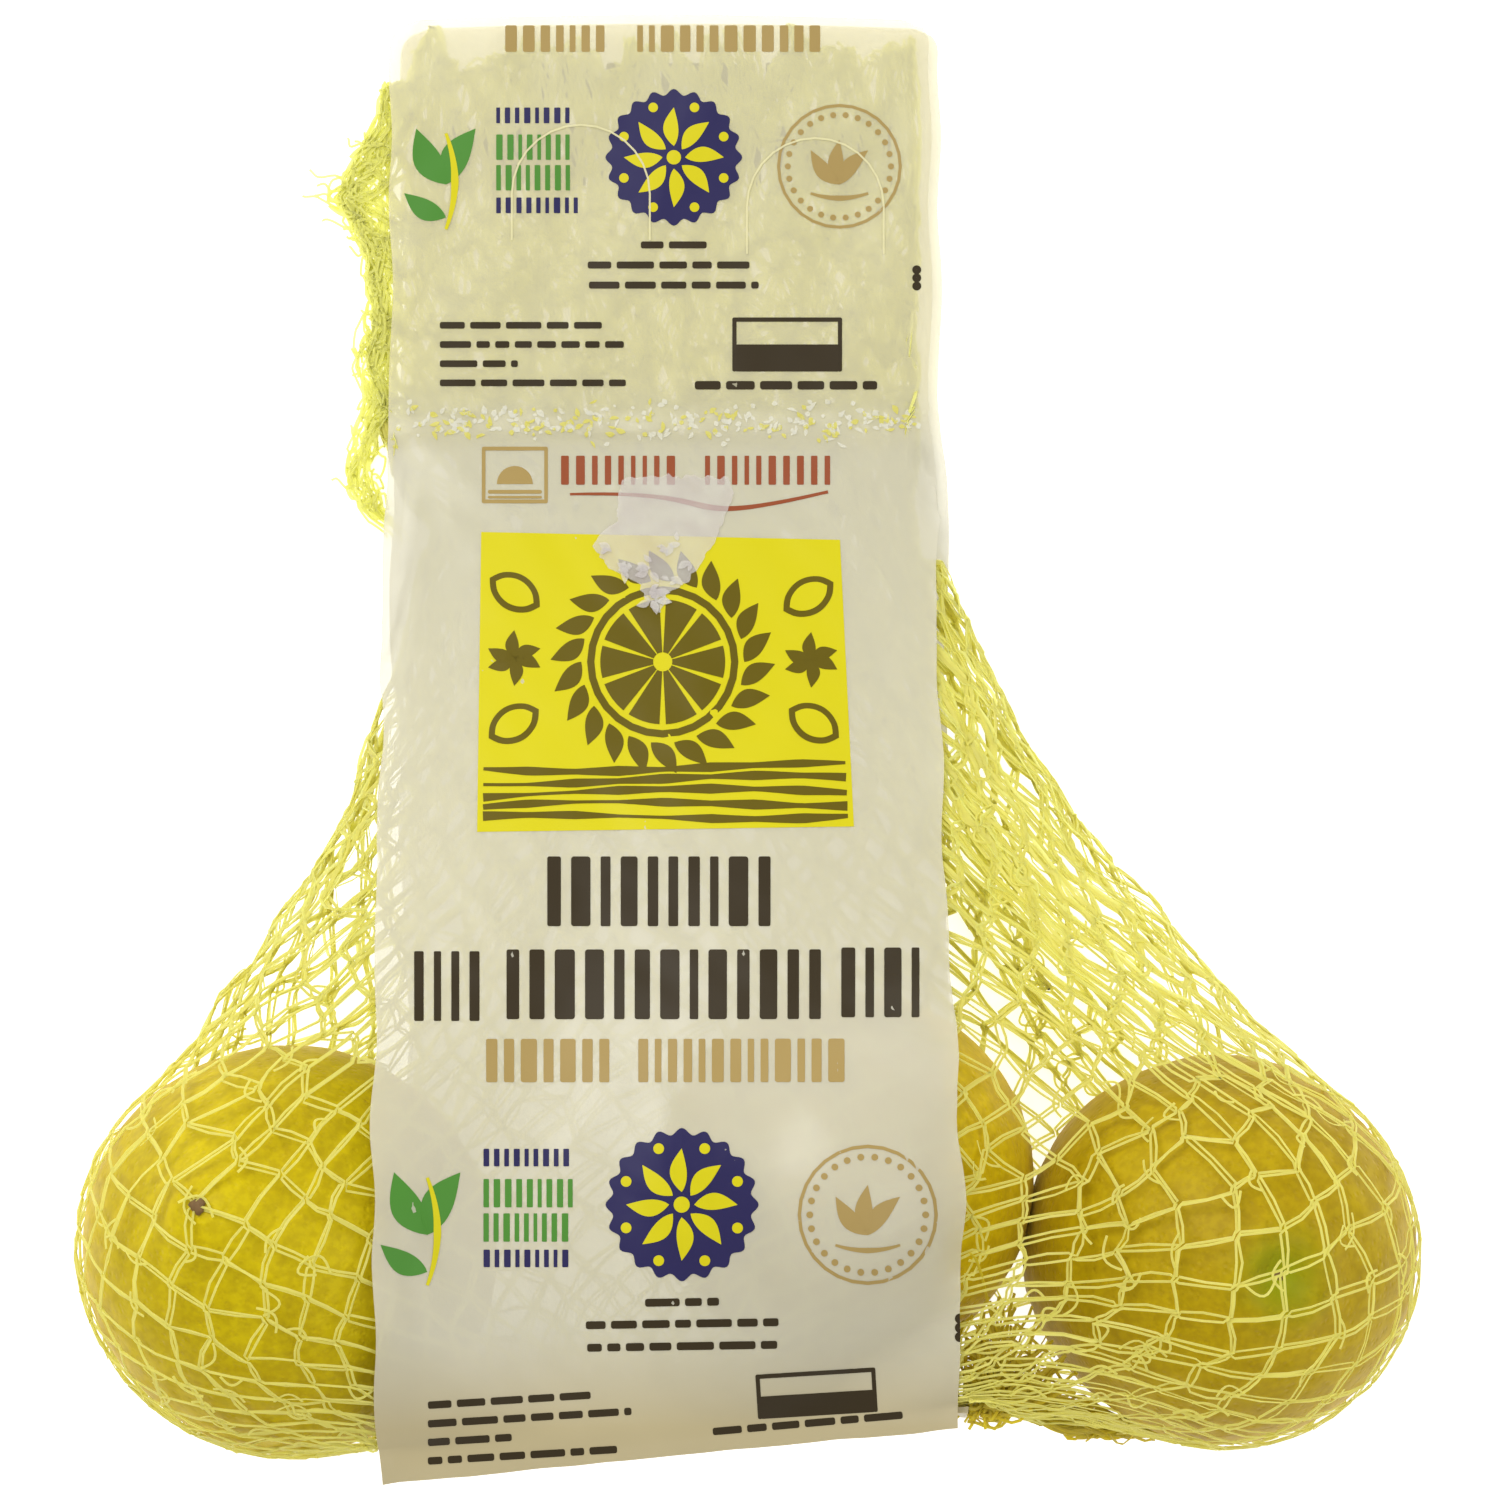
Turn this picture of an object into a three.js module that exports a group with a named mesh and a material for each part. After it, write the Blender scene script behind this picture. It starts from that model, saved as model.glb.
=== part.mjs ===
// A knitted net of three lemons with a film label front and back, lying on its back.
// Millimetres. +X is the shown side's right, +Y runs towards the header and +Z is up.
// The net is worked out as a taut tube: it starts wide and shrinks until it rests on the lemons.
import * as THREE from 'three';

// Lemons: the middle of each, its round radius, half its length, and how its long axis leans in degrees
const lemons = [
  { x: -76.4, y: -87.4, radius: 33.6, halfLength: 41, lean: 22, towards: 136 },
  { x: 16.2, y: -75.6, radius: 30.8, halfLength: 39.5, lean: 12, towards: 200 },
  { x: 77.8, y: -87.4, radius: 32.0, halfLength: 40, lean: 11, towards: -6 },
];
const netSkin = 1.0; // how far the net's outside stands off the peel

// Flat ends of the net: a header between the films, its weld, and a short weld at the bottom
const netThickness = 1.0;
const headerNet = { left: -67.5, right: 29.5, top: 111.5 };
const headerWeld = { left: -62.5, right: 30.5, y: 53 };
const bottomWeld = { left: -61.5, right: 36.5, leftY: -117.6, rightY: -109.6, z: 62 };

// Films: the same width all the way, the back one a little to the right of the front one
const filmThickness = 0.5;
const clearance = 1.2; // between the net and each film
const frontFilm = { left: -62.6, right: 31.4, top: 123.7, flapLeft: 5.7, flapRight: 4.2 };
const backFilm = { left: -60.8, right: 33.2, top: 122.6, flapLeft: 4.5, flapRight: 2.5 };
const lowerShift = 2.6; // how far right the films have moved by the bottom weld
const flapDrop = 0.3; // how fast the films fall away past the bottom weld

// Torn label remnant: its left and right edges on rows from its upper to its lower end
const remnantClearance = 0.4;
const remnantColumns = 6;
const remnantRows = [
  { y: 42.5, left: -25.5, right: -6.0 },
  { y: 38.0, left: -27.5, right: -1.5 },
  { y: 32.5, left: -26.0, right: -3.0 },
  { y: 27.5, left: -20.5, right: -9.0 },
  { y: 20.0, left: -16.5, right: -14.5 },
];

// Grid of the tube: columns round it, rings along it, and how hard its rings pull beside its lengths
const columns = 48;
const headerRings = 3;
const bodyRings = 38;
const ringPull = 0.065;
const passes = 400;
const filmColumns = 14;

// Where the slack net dips between the middle and the right lemon, and how hard it is drawn down
const dip = { x: 46, y: -70, halfWidth: 20, halfLength: 30, pull: 0.6 };

const backFilmMargin = 7; // the net stays lifted this far past the back film's edges
const half = columns / 2;
const mix = THREE.MathUtils.lerp;

// A lemon as a ball: the matrix turns the unit ball into the space that the net can't enter
function lemonSpace({ x, y, radius, halfLength, lean, towards }) {
  const tilt = THREE.MathUtils.degToRad(lean);
  const round = radius + netSkin;
  const long = halfLength + netSkin;
  const height = Math.hypot(long * Math.cos(tilt), round * Math.sin(tilt));
  const turn = new THREE.Quaternion().setFromAxisAngle(leanAxis(towards), tilt);
  const centre = new THREE.Vector3(x, y, height);
  const toWorld = new THREE.Matrix4().compose(centre, turn, new THREE.Vector3(round, round, long));
  return { toWorld, toBall: toWorld.clone().invert() };
}

function leanAxis(towards) {
  const direction = THREE.MathUtils.degToRad(towards);
  return new THREE.Vector3(-Math.sin(direction), Math.cos(direction), 0);
}

// The floor, raised where the back film lies on it
function floorUnder(x) {
  const overFilm = x > backFilm.left - backFilmMargin && x < backFilm.right + backFilmMargin;
  return overFilm ? filmThickness + clearance : 0;
}

// A flat ring: over the top from left to right, then back underneath
function flatRing(left, right, leftY, rightY, z) {
  return Array.from({ length: columns }, (_, column) => {
    const onTop = column < half;
    const across = onTop ? column / (half - 1) : (columns - 1 - column) / (half - 1);
    const height = z + (onTop ? netThickness : -netThickness) / 2;
    return new THREE.Vector3(mix(left, right, across), mix(leftY, rightY, across), height);
  });
}

// A ring of the header's net, from its upper end at 0 to the header weld at 1
function headerRing(along) {
  const y = mix(headerNet.top, headerWeld.y, along);
  const left = mix(headerNet.left, headerWeld.left, along ** 2);
  const right = mix(headerNet.right, headerWeld.right, along);
  return flatRing(left, right, y, y, filmThickness + clearance + netThickness / 2);
}

function bottomRing() {
  const { left, right, leftY, rightY, z } = bottomWeld;
  return flatRing(left, right, leftY, rightY, z);
}

// A wide ring that has every lemon inside it
function wideRing(along) {
  const swell = Math.sin(Math.PI * along) ** 0.5;
  return Array.from({ length: columns }, (_, column) => {
    const angle = Math.PI - (2 * Math.PI * (column + 0.5)) / columns;
    const x = 130 * swell * Math.cos(angle);
    const z = 45 + 75 * swell * Math.sin(angle);
    return new THREE.Vector3(x, mix(headerWeld.y, -135, along), z);
  });
}

function keepOut(point, spaces) {
  for (const { toWorld, toBall } of spaces) {
    const inBall = point.clone().applyMatrix4(toBall);
    if (inBall.lengthSq() < 1) point.copy(inBall.normalize().applyMatrix4(toWorld));
  }
  point.z = Math.max(point.z, floorUnder(point.x));
}

// Shrinks the tube until its pulls balance against the lemons and the floor
function relaxedBody() {
  let rings = [headerRing(1)];
  for (let ring = 1; ring < bodyRings; ring++) rings.push(wideRing(ring / bodyRings));
  rings.push(bottomRing());
  const spaces = lemons.map(lemonSpace);
  for (let pass = 0; pass < passes; pass++) {
    pullTogether(rings, spaces);
    rings = spacedAlong(rings.map((ring, index) => {
      return index > 0 && index < bodyRings ? spacedAround(ring) : ring;
    }));
  }
  return rings;
}

// How far a place on the top of the tube is drawn down in one pass
function dipAt({ x, y }) {
  const away = ((x - dip.x) / dip.halfWidth) ** 2 + ((y - dip.y) / dip.halfLength) ** 2;
  return dip.pull * Math.exp(-away);
}

function pullTogether(rings, spaces) {
  const target = new THREE.Vector3();
  for (let ring = 1; ring < bodyRings; ring++) {
    for (let column = 0; column < columns; column++) {
      const before = rings[ring][(column + columns - 1) % columns];
      const after = rings[ring][(column + 1) % columns];
      target.addVectors(before, after).multiplyScalar(ringPull);
      target.add(rings[ring - 1][column]).add(rings[ring + 1][column]);
      target.divideScalar(2 * ringPull + 2);
      if (column < half) target.z -= dipAt(target);
      keepOut(target, spaces);
      rings[ring][column].copy(target);
    }
  }
}

// Points on a polyline at the given shares of its length
function pointsOnPath(path, shares) {
  const distances = [0];
  for (let step = 1; step < path.length; step++) {
    distances.push(distances[step - 1] + path[step].distanceTo(path[step - 1]));
  }
  let step = 0;
  return shares.map((share) => {
    const distance = share * distances.at(-1);
    while (step < path.length - 2 && distances[step + 1] < distance) step++;
    const part = (distance - distances[step]) / (distances[step + 1] - distances[step]);
    return path[step].clone().lerp(path[step + 1], part);
  });
}

// Spaces a ring's columns evenly over the top and evenly underneath, between its two sides
function spacedAround(ring) {
  const heights = ring.map((point) => point.z);
  const middle = (Math.max(...heights) + Math.min(...heights)) / 2;
  const sides = { up: null, down: null };
  ring.forEach((start, column) => {
    const end = ring[(column + 1) % columns];
    if (start.z > middle === end.z > middle) return;
    const point = start.clone().lerp(end, (middle - start.z) / (end.z - start.z));
    const way = end.z > middle ? 'up' : 'down';
    const outward = way === 'up' ? -1 : 1;
    if (!sides[way] || outward * (point.x - sides[way].point.x) > 0) sides[way] = { column, point };
  });
  const shares = Array.from({ length: half }, (_, column) => (column + 0.5) / half);
  const arc = (from, to) => {
    const path = [from.point];
    for (let column = from.column; column !== to.column; column = (column + 1) % columns) {
      path.push(ring[(column + 1) % columns]);
    }
    return pointsOnPath([...path, to.point], shares);
  };
  return [...arc(sides.up, sides.down), ...arc(sides.down, sides.up)];
}

// Spaces the rings evenly along each of the tube's lengths
function spacedAlong(rings) {
  const shares = rings.map((_, ring) => ring / bodyRings);
  const lengths = rings[0].map((_, column) => {
    return pointsOnPath(rings.map((ring) => ring[column]), shares);
  });
  return rings.map((_, ring) => lengths.map((length) => length[ring]));
}

function netRings() {
  const header = Array.from({ length: headerRings }, (_, ring) => {
    return headerRing(ring / headerRings);
  });
  return [...header, ...relaxedBody()];
}

function solid(points, triangles) {
  const geometry = new THREE.BufferGeometry().setFromPoints(points);
  geometry.setIndex(triangles);
  geometry.computeVertexNormals();
  return geometry;
}

// Two triangles for the four corners, seen anticlockwise from outside
function quad(a, b, c, d) {
  return [a, b, c, a, c, d];
}

function netSolid(rings) {
  const triangles = [];
  const last = rings.length - 1;
  const at = (ring, column) => ring * columns + (column % columns);
  for (let ring = 0; ring < last; ring++) {
    for (let column = 0; column < columns; column++) {
      triangles.push(...quad(
        at(ring, column), at(ring + 1, column), at(ring + 1, column + 1), at(ring, column + 1),
      ));
    }
  }
  for (let column = 0; column < half - 1; column++) {
    const under = columns - 1 - column;
    triangles.push(...quad(at(0, column), at(0, column + 1), at(0, under - 1), at(0, under)));
    triangles.push(...quad(
      at(last, column), at(last, under), at(last, under - 1), at(last, column + 1),
    ));
  }
  return solid(rings.flat(), triangles);
}

// The place on one side of the tube at a given x and at a ring, which may be between two rings
function placeOnNet(rings, normals, x, ringAt, side) {
  const lower = Math.min(Math.floor(ringAt), rings.length - 2);
  const first = placeOnRing(rings[lower], normals[lower], x, side);
  const second = placeOnRing(rings[lower + 1], normals[lower + 1], x, side);
  const share = ringAt - lower;
  return {
    point: first.point.lerp(second.point, share),
    normal: first.normal.lerp(second.normal, share).normalize(),
  };
}

function placeOnRing(ring, normals, x, side) {
  const order = Array.from({ length: half }, (_, step) => (side > 0 ? step : columns - 1 - step));
  let step = 0;
  while (step < half - 2 && ring[order[step + 1]].x < x) step++;
  const [a, b] = [order[step], order[step + 1]];
  const share = THREE.MathUtils.clamp((x - ring[a].x) / (ring[b].x - ring[a].x), 0, 1);
  const point = ring[a].clone().lerp(ring[b], share);
  point.x = x;
  return { point, normal: normals[a].clone().lerp(normals[b], share) };
}

function ringNormals(geometry, ringCount) {
  const normal = geometry.getAttribute('normal');
  return Array.from({ length: ringCount }, (_, ring) => {
    return Array.from({ length: columns }, (_, column) => {
      return new THREE.Vector3().fromBufferAttribute(normal, ring * columns + column);
    });
  });
}

// A thin closed sheet from rows of places, each with its outward direction
function sheetSolid(rows, gap) {
  const across = rows[0].length;
  const layer = (height) => rows.flat().map(({ point, normal }) => {
    return point.clone().addScaledVector(normal, height);
  });
  const points = [...layer(gap), ...layer(gap + filmThickness)];
  const inner = (row, column) => row * across + column;
  const outer = (row, column) => (rows.length + row) * across + column;
  const triangles = [];
  for (let row = 0; row < rows.length - 1; row++) {
    for (let column = 0; column < across - 1; column++) {
      const corners = [[row, column], [row + 1, column], [row + 1, column + 1], [row, column + 1]];
      triangles.push(...quad(...corners.map(([r, c]) => outer(r, c))));
      triangles.push(...quad(...corners.reverse().map(([r, c]) => inner(r, c))));
    }
  }
  const rim = rimOf(rows.length, across);
  rim.forEach(([row, column], step) => {
    const [nextRow, nextColumn] = rim[(step + 1) % rim.length];
    triangles.push(...quad(
      inner(row, column), inner(nextRow, nextColumn), outer(nextRow, nextColumn), outer(row, column),
    ));
  });
  return solid(points, triangles);
}

// The grid places round the edge of a sheet, anticlockwise as seen from its outer face
function rimOf(rowCount, across) {
  const rim = [];
  for (let row = 0; row < rowCount - 1; row++) rim.push([row, 0]);
  for (let column = 0; column < across - 1; column++) rim.push([rowCount - 1, column]);
  for (let row = rowCount - 1; row > 0; row--) rim.push([row, across - 1]);
  for (let column = across - 1; column > 0; column--) rim.push([0, column]);
  return rim;
}

// One film's rows: the free end past the header's net, the net's own rings, then the flap
function filmRows(rings, normals, film, side) {
  const rowAt = (ring) => Array.from({ length: filmColumns + 1 }, (_, column) => {
    const shift = (lowerShift * Math.max(ring - headerRings, 0)) / bodyRings;
    const x = mix(film.left, film.right, column / filmColumns) + shift;
    return placeOnNet(rings, normals, x, ring, side);
  });
  const header = rowAt(0).map(({ point }) => ({ point, normal: new THREE.Vector3(0, 0, side) }));
  const upperEnd = header.map(({ point, normal }) => {
    return { point: new THREE.Vector3(point.x, film.top, point.z), normal };
  });
  const body = [];
  for (let ring = 1; ring < rings.length - 1; ring++) body.push(rowAt(ring));
  const flapNormal = new THREE.Vector3(0, -flapDrop, 1).multiplyScalar(side).normalize();
  const weld = rowAt(rings.length - 1).map(({ point }, column) => {
    return { point, normal: mitre(body.at(-1)[column].normal, flapNormal) };
  });
  const lowerEnd = weld.map(({ point }, column) => {
    const flap = mix(film.flapLeft, film.flapRight, column / filmColumns);
    const drop = new THREE.Vector3(0, -flap, -flap * flapDrop);
    return { point: point.clone().add(drop), normal: flapNormal };
  });
  const rows = [upperEnd, header, ...body, weld, lowerEnd];
  return side > 0 ? rows : rows.map((row) => row.toReversed());
}

// The step at a fold that keeps the same distance from both of its faces
function mitre(normal, nextNormal) {
  return normal.clone().add(nextNormal).divideScalar(1 + normal.dot(nextNormal));
}

function remnantSheet(rings, normals) {
  return remnantRows.map(({ y, left, right }) => {
    const ringAt = ringNear(rings, (left + right) / 2, y);
    return Array.from({ length: remnantColumns + 1 }, (_, column) => {
      return placeOnNet(rings, normals, mix(left, right, column / remnantColumns), ringAt, 1);
    });
  });
}

// The ring, or place between two rings, where the top of the tube passes a given x and y
function ringNear(rings, x, y) {
  const yAt = (ring) => placeOnRing(rings[ring], rings[ring], x, 1).point.y;
  let ring = headerRings;
  while (yAt(ring + 1) > y) ring++;
  return ring + (yAt(ring) - y) / (yAt(ring) - yAt(ring + 1));
}

function piece(name, geometry, colour, roughness) {
  const material = new THREE.MeshStandardMaterial({ color: colour, roughness, metalness: 0 });
  const mesh = new THREE.Mesh(geometry, material);
  mesh.name = name;
  return mesh;
}

const rings = netRings();
const netGeometry = netSolid(rings);
const normals = ringNormals(netGeometry, rings.length);
const group = new THREE.Group();
group.add(
  piece('net_bag', netGeometry, 0xd9c93a, 0.55),
  piece('front_label', sheetSolid(filmRows(rings, normals, frontFilm, 1), clearance), 0xddd6b4, 0.35),
  piece('back_label', sheetSolid(filmRows(rings, normals, backFilm, -1), clearance), 0xddd6b4, 0.35),
  piece(
    'sticker_remnant',
    sheetSolid(remnantSheet(rings, normals), clearance + filmThickness + remnantClearance),
    0xdcd6e0, 0.6,
  ),
);

export default group;
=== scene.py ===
# A net of lemons: three lemons in a knitted yellow net, between two printed milky films.
# The pack lies on its back with its header towards +Y. Lengths are in millimetres until a mesh is made.
import math

import bpy
import numpy as np
from mathutils import Euler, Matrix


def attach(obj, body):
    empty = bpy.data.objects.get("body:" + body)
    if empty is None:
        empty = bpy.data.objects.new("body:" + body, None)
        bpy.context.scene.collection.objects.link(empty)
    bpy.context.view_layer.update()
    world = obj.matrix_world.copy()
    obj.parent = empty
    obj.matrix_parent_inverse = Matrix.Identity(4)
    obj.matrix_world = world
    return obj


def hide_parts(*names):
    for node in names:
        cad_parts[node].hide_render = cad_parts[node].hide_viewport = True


MM = 0.001

# Lemons: the middle of each, its round radius, half its length, how its long axis leans in degrees,
# how strong the red and green of its peel are, which is painted light and shade that darkens the right
# lemon and lightens the middle one, and the radius of its end scars
LEMONS = {
    "left": {"x": -76.4, "y": -87.4, "radius": 33.6, "half": 41.0, "lean": 22, "towards": 136,
             "tip_up": True, "painted_light_tone": (1.0, 0.99), "scar": 1.35},
    "middle": {"x": 16.2, "y": -75.6, "radius": 30.8, "half": 39.5, "lean": 12, "towards": 200,
               "tip_up": True, "painted_light_tone": (1.07, 1.03), "scar": 1.0},
    "right": {"x": 77.8, "y": -87.4, "radius": 32.0, "half": 40.0, "lean": 11, "towards": -6,
              "tip_up": False, "painted_light_tone": (0.91, 0.86), "scar": 0.9},
}
NET_SKIN = 1.0
PEEL_SKIN = 0.25

# Flat ends of the net and the films round it
NET_THICKNESS = 1.0
HEADER_NET = {"left": -67.5, "right": 29.5, "top": 111.5}
HEADER_WELD = {"left": -62.5, "right": 30.5, "y": 53.0}
BOTTOM_WELD = {"left": -61.5, "right": 36.5, "left_y": -117.6, "right_y": -109.6, "z": 62.0}
FILM_THICKNESS = 0.5
CLEARANCE = 1.2
FRONT_FILM = {"left": -62.6, "right": 31.4, "top": 123.7, "flap_left": 5.7, "flap_right": 4.2}
BACK_FILM = {"left": -60.8, "right": 33.2, "top": 122.6, "flap_left": 4.5, "flap_right": 2.5}
LOWER_SHIFT = 2.6
FLAP_DROP = 0.3
BACK_FILM_MARGIN = 7.0

# Grid of the tube, as the solids have it, and how many times finer the surface is drawn
COLUMNS = 48
HALF = COLUMNS // 2
HEADER_RINGS = 3
BODY_RINGS = 38
RING_PULL = 0.065
PASSES = 500
WIDE = {"end": -135.0, "half_width": 130, "half_height": 75, "z": 45}
FINE = 4
DIP = {"x": 46.0, "y": -70.0, "half_width": 20.0, "half_length": 30.0, "pull": 0.6}

# Knitted net: zigzag chains of two flat tapes, which touch their neighbours at knots
CHAINS = 116
KNOTS = CHAINS // 2
HEADER_STEPS = 20
BODY_STEPS = 42
STEPS = HEADER_STEPS + BODY_STEPS
STEP_SHARES = np.array([0.0, 0.14, 0.5, 0.86])
STEP_BENDS = np.array([0.0, 0.03, 0.5, 0.97])
STEP_POINTS = len(STEP_SHARES)
HEADER_CUT = STEP_POINTS * HEADER_STEPS
KNOT_SCATTER = 0.13
RING_SCATTER = 0.14
TAPE_WIDTH = 0.40
NECK_TAPE_WIDTH = 0.86
HEADER_TAPE_WIDTH = 0.54
NECK_RINGS = 24
TAPE_THICKNESS = 0.16
BUNCHING = 1.5
HEADER_RING_LENGTH = 19
BODY_RING_LENGTH = 5

# Colours of the net's tapes, lit from before and through from behind, and the share of the second
NETTING = {
    "netting": ((232, 228, 134), (254, 251, 184), 0.62),
    # The loose net's copy is paler, painted light against the shade its crowded layers cast on each other.
    "netting_loose_painted_light": ((242, 240, 156), (255, 255, 208), 0.72),
    # The bunched corner's copy is darker and deeper yellow, a painted shade.
    "netting_bunched_painted_shade": ((214, 200, 66), (242, 230, 96), 0.6),
}

# Loose threads: filaments of the slack net, hooks, the gathered corner with its spray, and the frayed edge
THREAD_THICKNESS = 0.14
THREAD_SKIN = 0.7
SLACK_STEPS = STEP_POINTS * (HEADER_STEPS + 23)
SLACK_WIDTH = 0.56
HOOKS = 420
HOOK_POINTS = 9
HOOK_WIDTH = 0.4
GATHERED = 300
GATHERED_POINTS = 12
GATHERED_WIDTH = 0.5
GATHERED_FOLD = [(35.0, -112.0, 58.0), (44.0, -112.0, 52.0), (53.0, -117.0, 45.0), (63.0, -118.6, 38.0),
                 (73.0, -118.8, 30.0)]
SPRAY = 110
SPRAY_FROM = {"x": 37.5, "y": -112.0, "z": 58.0}
SPRAY_SKIN = 0.9
FRAYED = 300
FRAYED_POINTS = 13
FRAYED_WIDTH = 0.42

# The net's rise between the films' top edges, and how far its loose left edge stands out past the flat
# net, at heights up the header
NET_RISE = 6.5
NET_RISE_FROM = 92.0
NET_RISE_LENGTH = 19.5
LOOSE_EDGE_WIDTH = 9.0
LOOSE_EDGE_FROM = 28.0
LOOSE_EDGE_FADE = 5.0
LOOSE_EDGE = [(33.7, -2.6), (38.4, 2.0), (43.7, 3.4), (50.5, 2.4), (56.6, 0.4), (62.5, 2.2), (68.6, 0.6),
              (80.7, 0.2), (86.8, 1.2), (92.0, 4.8), (100.4, 0.2), (104.9, -3.0), (112.0, -4.6)]

# The photograph's camera, straight above, and the plane in which print sizes are given
CAMERA_HEIGHT = 850.0
CAMERA_Y = -4.3
PRINT_PLANE = 40.0
LENS = 116.6

random = np.random.default_rng(11)


# Small helpers for places and smooth random fields

def mix(start, end, share):
    return start + (end - start) * share


def unit(vectors):
    return vectors / np.maximum(np.linalg.norm(vectors, axis=-1, keepdims=True), 1e-9)


def bell(value, width, middle=0.0):
    """1 in the middle, falling smoothly to 0 over a few widths."""
    return np.exp(-(((value - middle) / width) ** 2))


def stacked(*coordinates):
    """Points from their coordinates, which are spread to one shape."""
    return np.stack(np.broadcast_arrays(*coordinates), axis=-1)


def interpolated(at, known, rows):
    """Points between the given rows, which stand at known places."""
    return np.stack([np.interp(at, known, column) for column in np.transpose(rows)], axis=-1)


def distances_along(path):
    steps = np.linalg.norm(np.diff(path, axis=0), axis=1)
    return np.concatenate([[0], np.cumsum(steps)])


def ripple(points, size, seed, waves=10):
    """A smooth random field of about -1 to 1, with features of the given size."""
    draw = np.random.default_rng(seed)
    directions = unit(draw.normal(size=(waves, points.shape[-1])))
    lengths = size * draw.uniform(0.7, 1.6, waves)
    phases = draw.uniform(0, 2 * math.pi, waves)
    total = np.zeros(points.shape[:-1])
    for direction, length, phase in zip(directions, lengths, phases):
        total += np.sin(points @ direction * (2 * math.pi / length) + phase)
    return total / math.sqrt(waves)


# The taut net as a tube: it starts wide and shrinks until it rests on the lemons

def lemon_ball(lemon, skin):
    """The lemon's middle and the matrix that turns the unit ball into its outer form, skin included."""
    tilt = math.radians(lemon["lean"])
    towards = math.radians(lemon["towards"])
    round_radius = lemon["radius"] + skin
    long_radius = lemon["half"] + skin
    height = math.hypot(
        (lemon["half"] + NET_SKIN) * math.cos(tilt), (lemon["radius"] + NET_SKIN) * math.sin(tilt)
    )
    lean = math.sin(tilt)
    axis = np.array([lean * math.cos(towards), lean * math.sin(towards), math.cos(tilt)])
    side = unit(np.cross(axis, [0.0, 1.0, 0.0]))
    other = np.cross(axis, side)
    matrix = np.stack([side * round_radius, other * round_radius, axis * long_radius], axis=1)
    return np.array([lemon["x"], lemon["y"], height]), matrix


def lemon_balls(skin):
    return [lemon_ball(lemon, skin) for lemon in LEMONS.values()]


NET_BALLS = lemon_balls(NET_SKIN)


def keep_out(points, balls=NET_BALLS):
    """Moves points out of the balls."""
    for centre, matrix in balls:
        inside = (points - centre) @ np.linalg.inv(matrix).T
        distance = np.linalg.norm(inside, axis=-1, keepdims=True)
        pushed = centre + (inside / np.maximum(distance, 1e-9)) @ matrix.T
        points = np.where(distance < 1, pushed, points)
    return points


def above_floor(points):
    """Keeps points above the floor, which is raised where the back film lies on it."""
    x = points[..., 0]
    over_film = (x > BACK_FILM["left"] - BACK_FILM_MARGIN) & (x < BACK_FILM["right"] + BACK_FILM_MARGIN)
    floor = np.where(over_film, FILM_THICKNESS + CLEARANCE, 0.0)
    points[..., 2] = np.maximum(points[..., 2], floor)
    return points


def flat_ring(left, right, left_y, right_y, z):
    """A flat ring: over the top from left to right, then back underneath."""
    there = np.linspace(0, 1, HALF)
    across = np.concatenate([there, there[::-1]])
    height = z + np.repeat([0.5, -0.5], HALF) * NET_THICKNESS
    return np.stack([mix(left, right, across), mix(left_y, right_y, across), height], axis=1)


def header_ring(along):
    y = mix(HEADER_NET["top"], HEADER_WELD["y"], along)
    left = mix(HEADER_NET["left"], HEADER_WELD["left"], along**2)
    right = mix(HEADER_NET["right"], HEADER_WELD["right"], along)
    return flat_ring(left, right, y, y, FILM_THICKNESS + CLEARANCE + NET_THICKNESS / 2)


def wide_ring(along):
    """A ring wide enough to have every lemon inside it."""
    swell = math.sin(math.pi * along) ** 0.5
    angle = math.pi - 2 * math.pi * (np.arange(COLUMNS) + 0.5) / COLUMNS
    y = mix(HEADER_WELD["y"], WIDE["end"], along)
    z = WIDE["z"] + WIDE["half_height"] * swell * np.sin(angle)
    return stacked(WIDE["half_width"] * swell * np.cos(angle), y, z)


def dip_at(places):
    """How far places on the tube's top are drawn down in a step, between the middle and right lemons."""
    across = (places[..., 0] - DIP["x"]) / DIP["half_width"]
    along = (places[..., 1] - DIP["y"]) / DIP["half_length"]
    return DIP["pull"] * np.exp(-(across**2) - along**2)


def pull_together(rings):
    """One step in which every free place moves towards the middle of its four neighbours."""
    ring, column = np.indices(rings.shape[:2])
    for parity in (0, 1):
        around = np.roll(rings, 1, axis=1) + np.roll(rings, -1, axis=1)
        target = rings.copy()
        target[1:-1] = (RING_PULL * around[1:-1] + rings[:-2] + rings[2:]) / (2 * RING_PULL + 2)
        target[:, :HALF, 2] -= dip_at(target[:, :HALF])
        target = above_floor(keep_out(target))
        turn = ((ring + column) % 2 == parity) & (ring > 0) & (ring < len(rings) - 1)
        rings = np.where(turn[..., None], target, rings)
    return rings


def points_on_path(path, shares):
    """Points on a polyline at the given shares of its length."""
    distances = distances_along(path)
    return interpolated(shares * distances[-1], distances, path)


def spaced_around(ring):
    """Spaces a ring's columns evenly over the top and evenly underneath, between its two sides."""
    after = np.roll(ring, -1, axis=0)
    middle = (ring[:, 2].max() + ring[:, 2].min()) / 2
    above = ring[:, 2] > middle
    crossings = np.nonzero(above != np.roll(above, -1))[0]
    part = (middle - ring[crossings, 2]) / (after[crossings, 2] - ring[crossings, 2])
    points = mix(ring[crossings], after[crossings], part[:, None])
    up = ~above[crossings]
    left = np.nonzero(up)[0][np.argmin(points[up, 0])]
    right = np.nonzero(~up)[0][np.argmax(points[~up, 0])]
    shares = (np.arange(HALF) + 0.5) / HALF

    def arc(start, end):
        count = (crossings[end] - crossings[start]) % COLUMNS
        between = ring[(crossings[start] + 1 + np.arange(count)) % COLUMNS]
        return points_on_path(np.vstack([points[start], between, points[end]]), shares)

    return np.vstack([arc(left, right), arc(right, left)])


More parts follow.
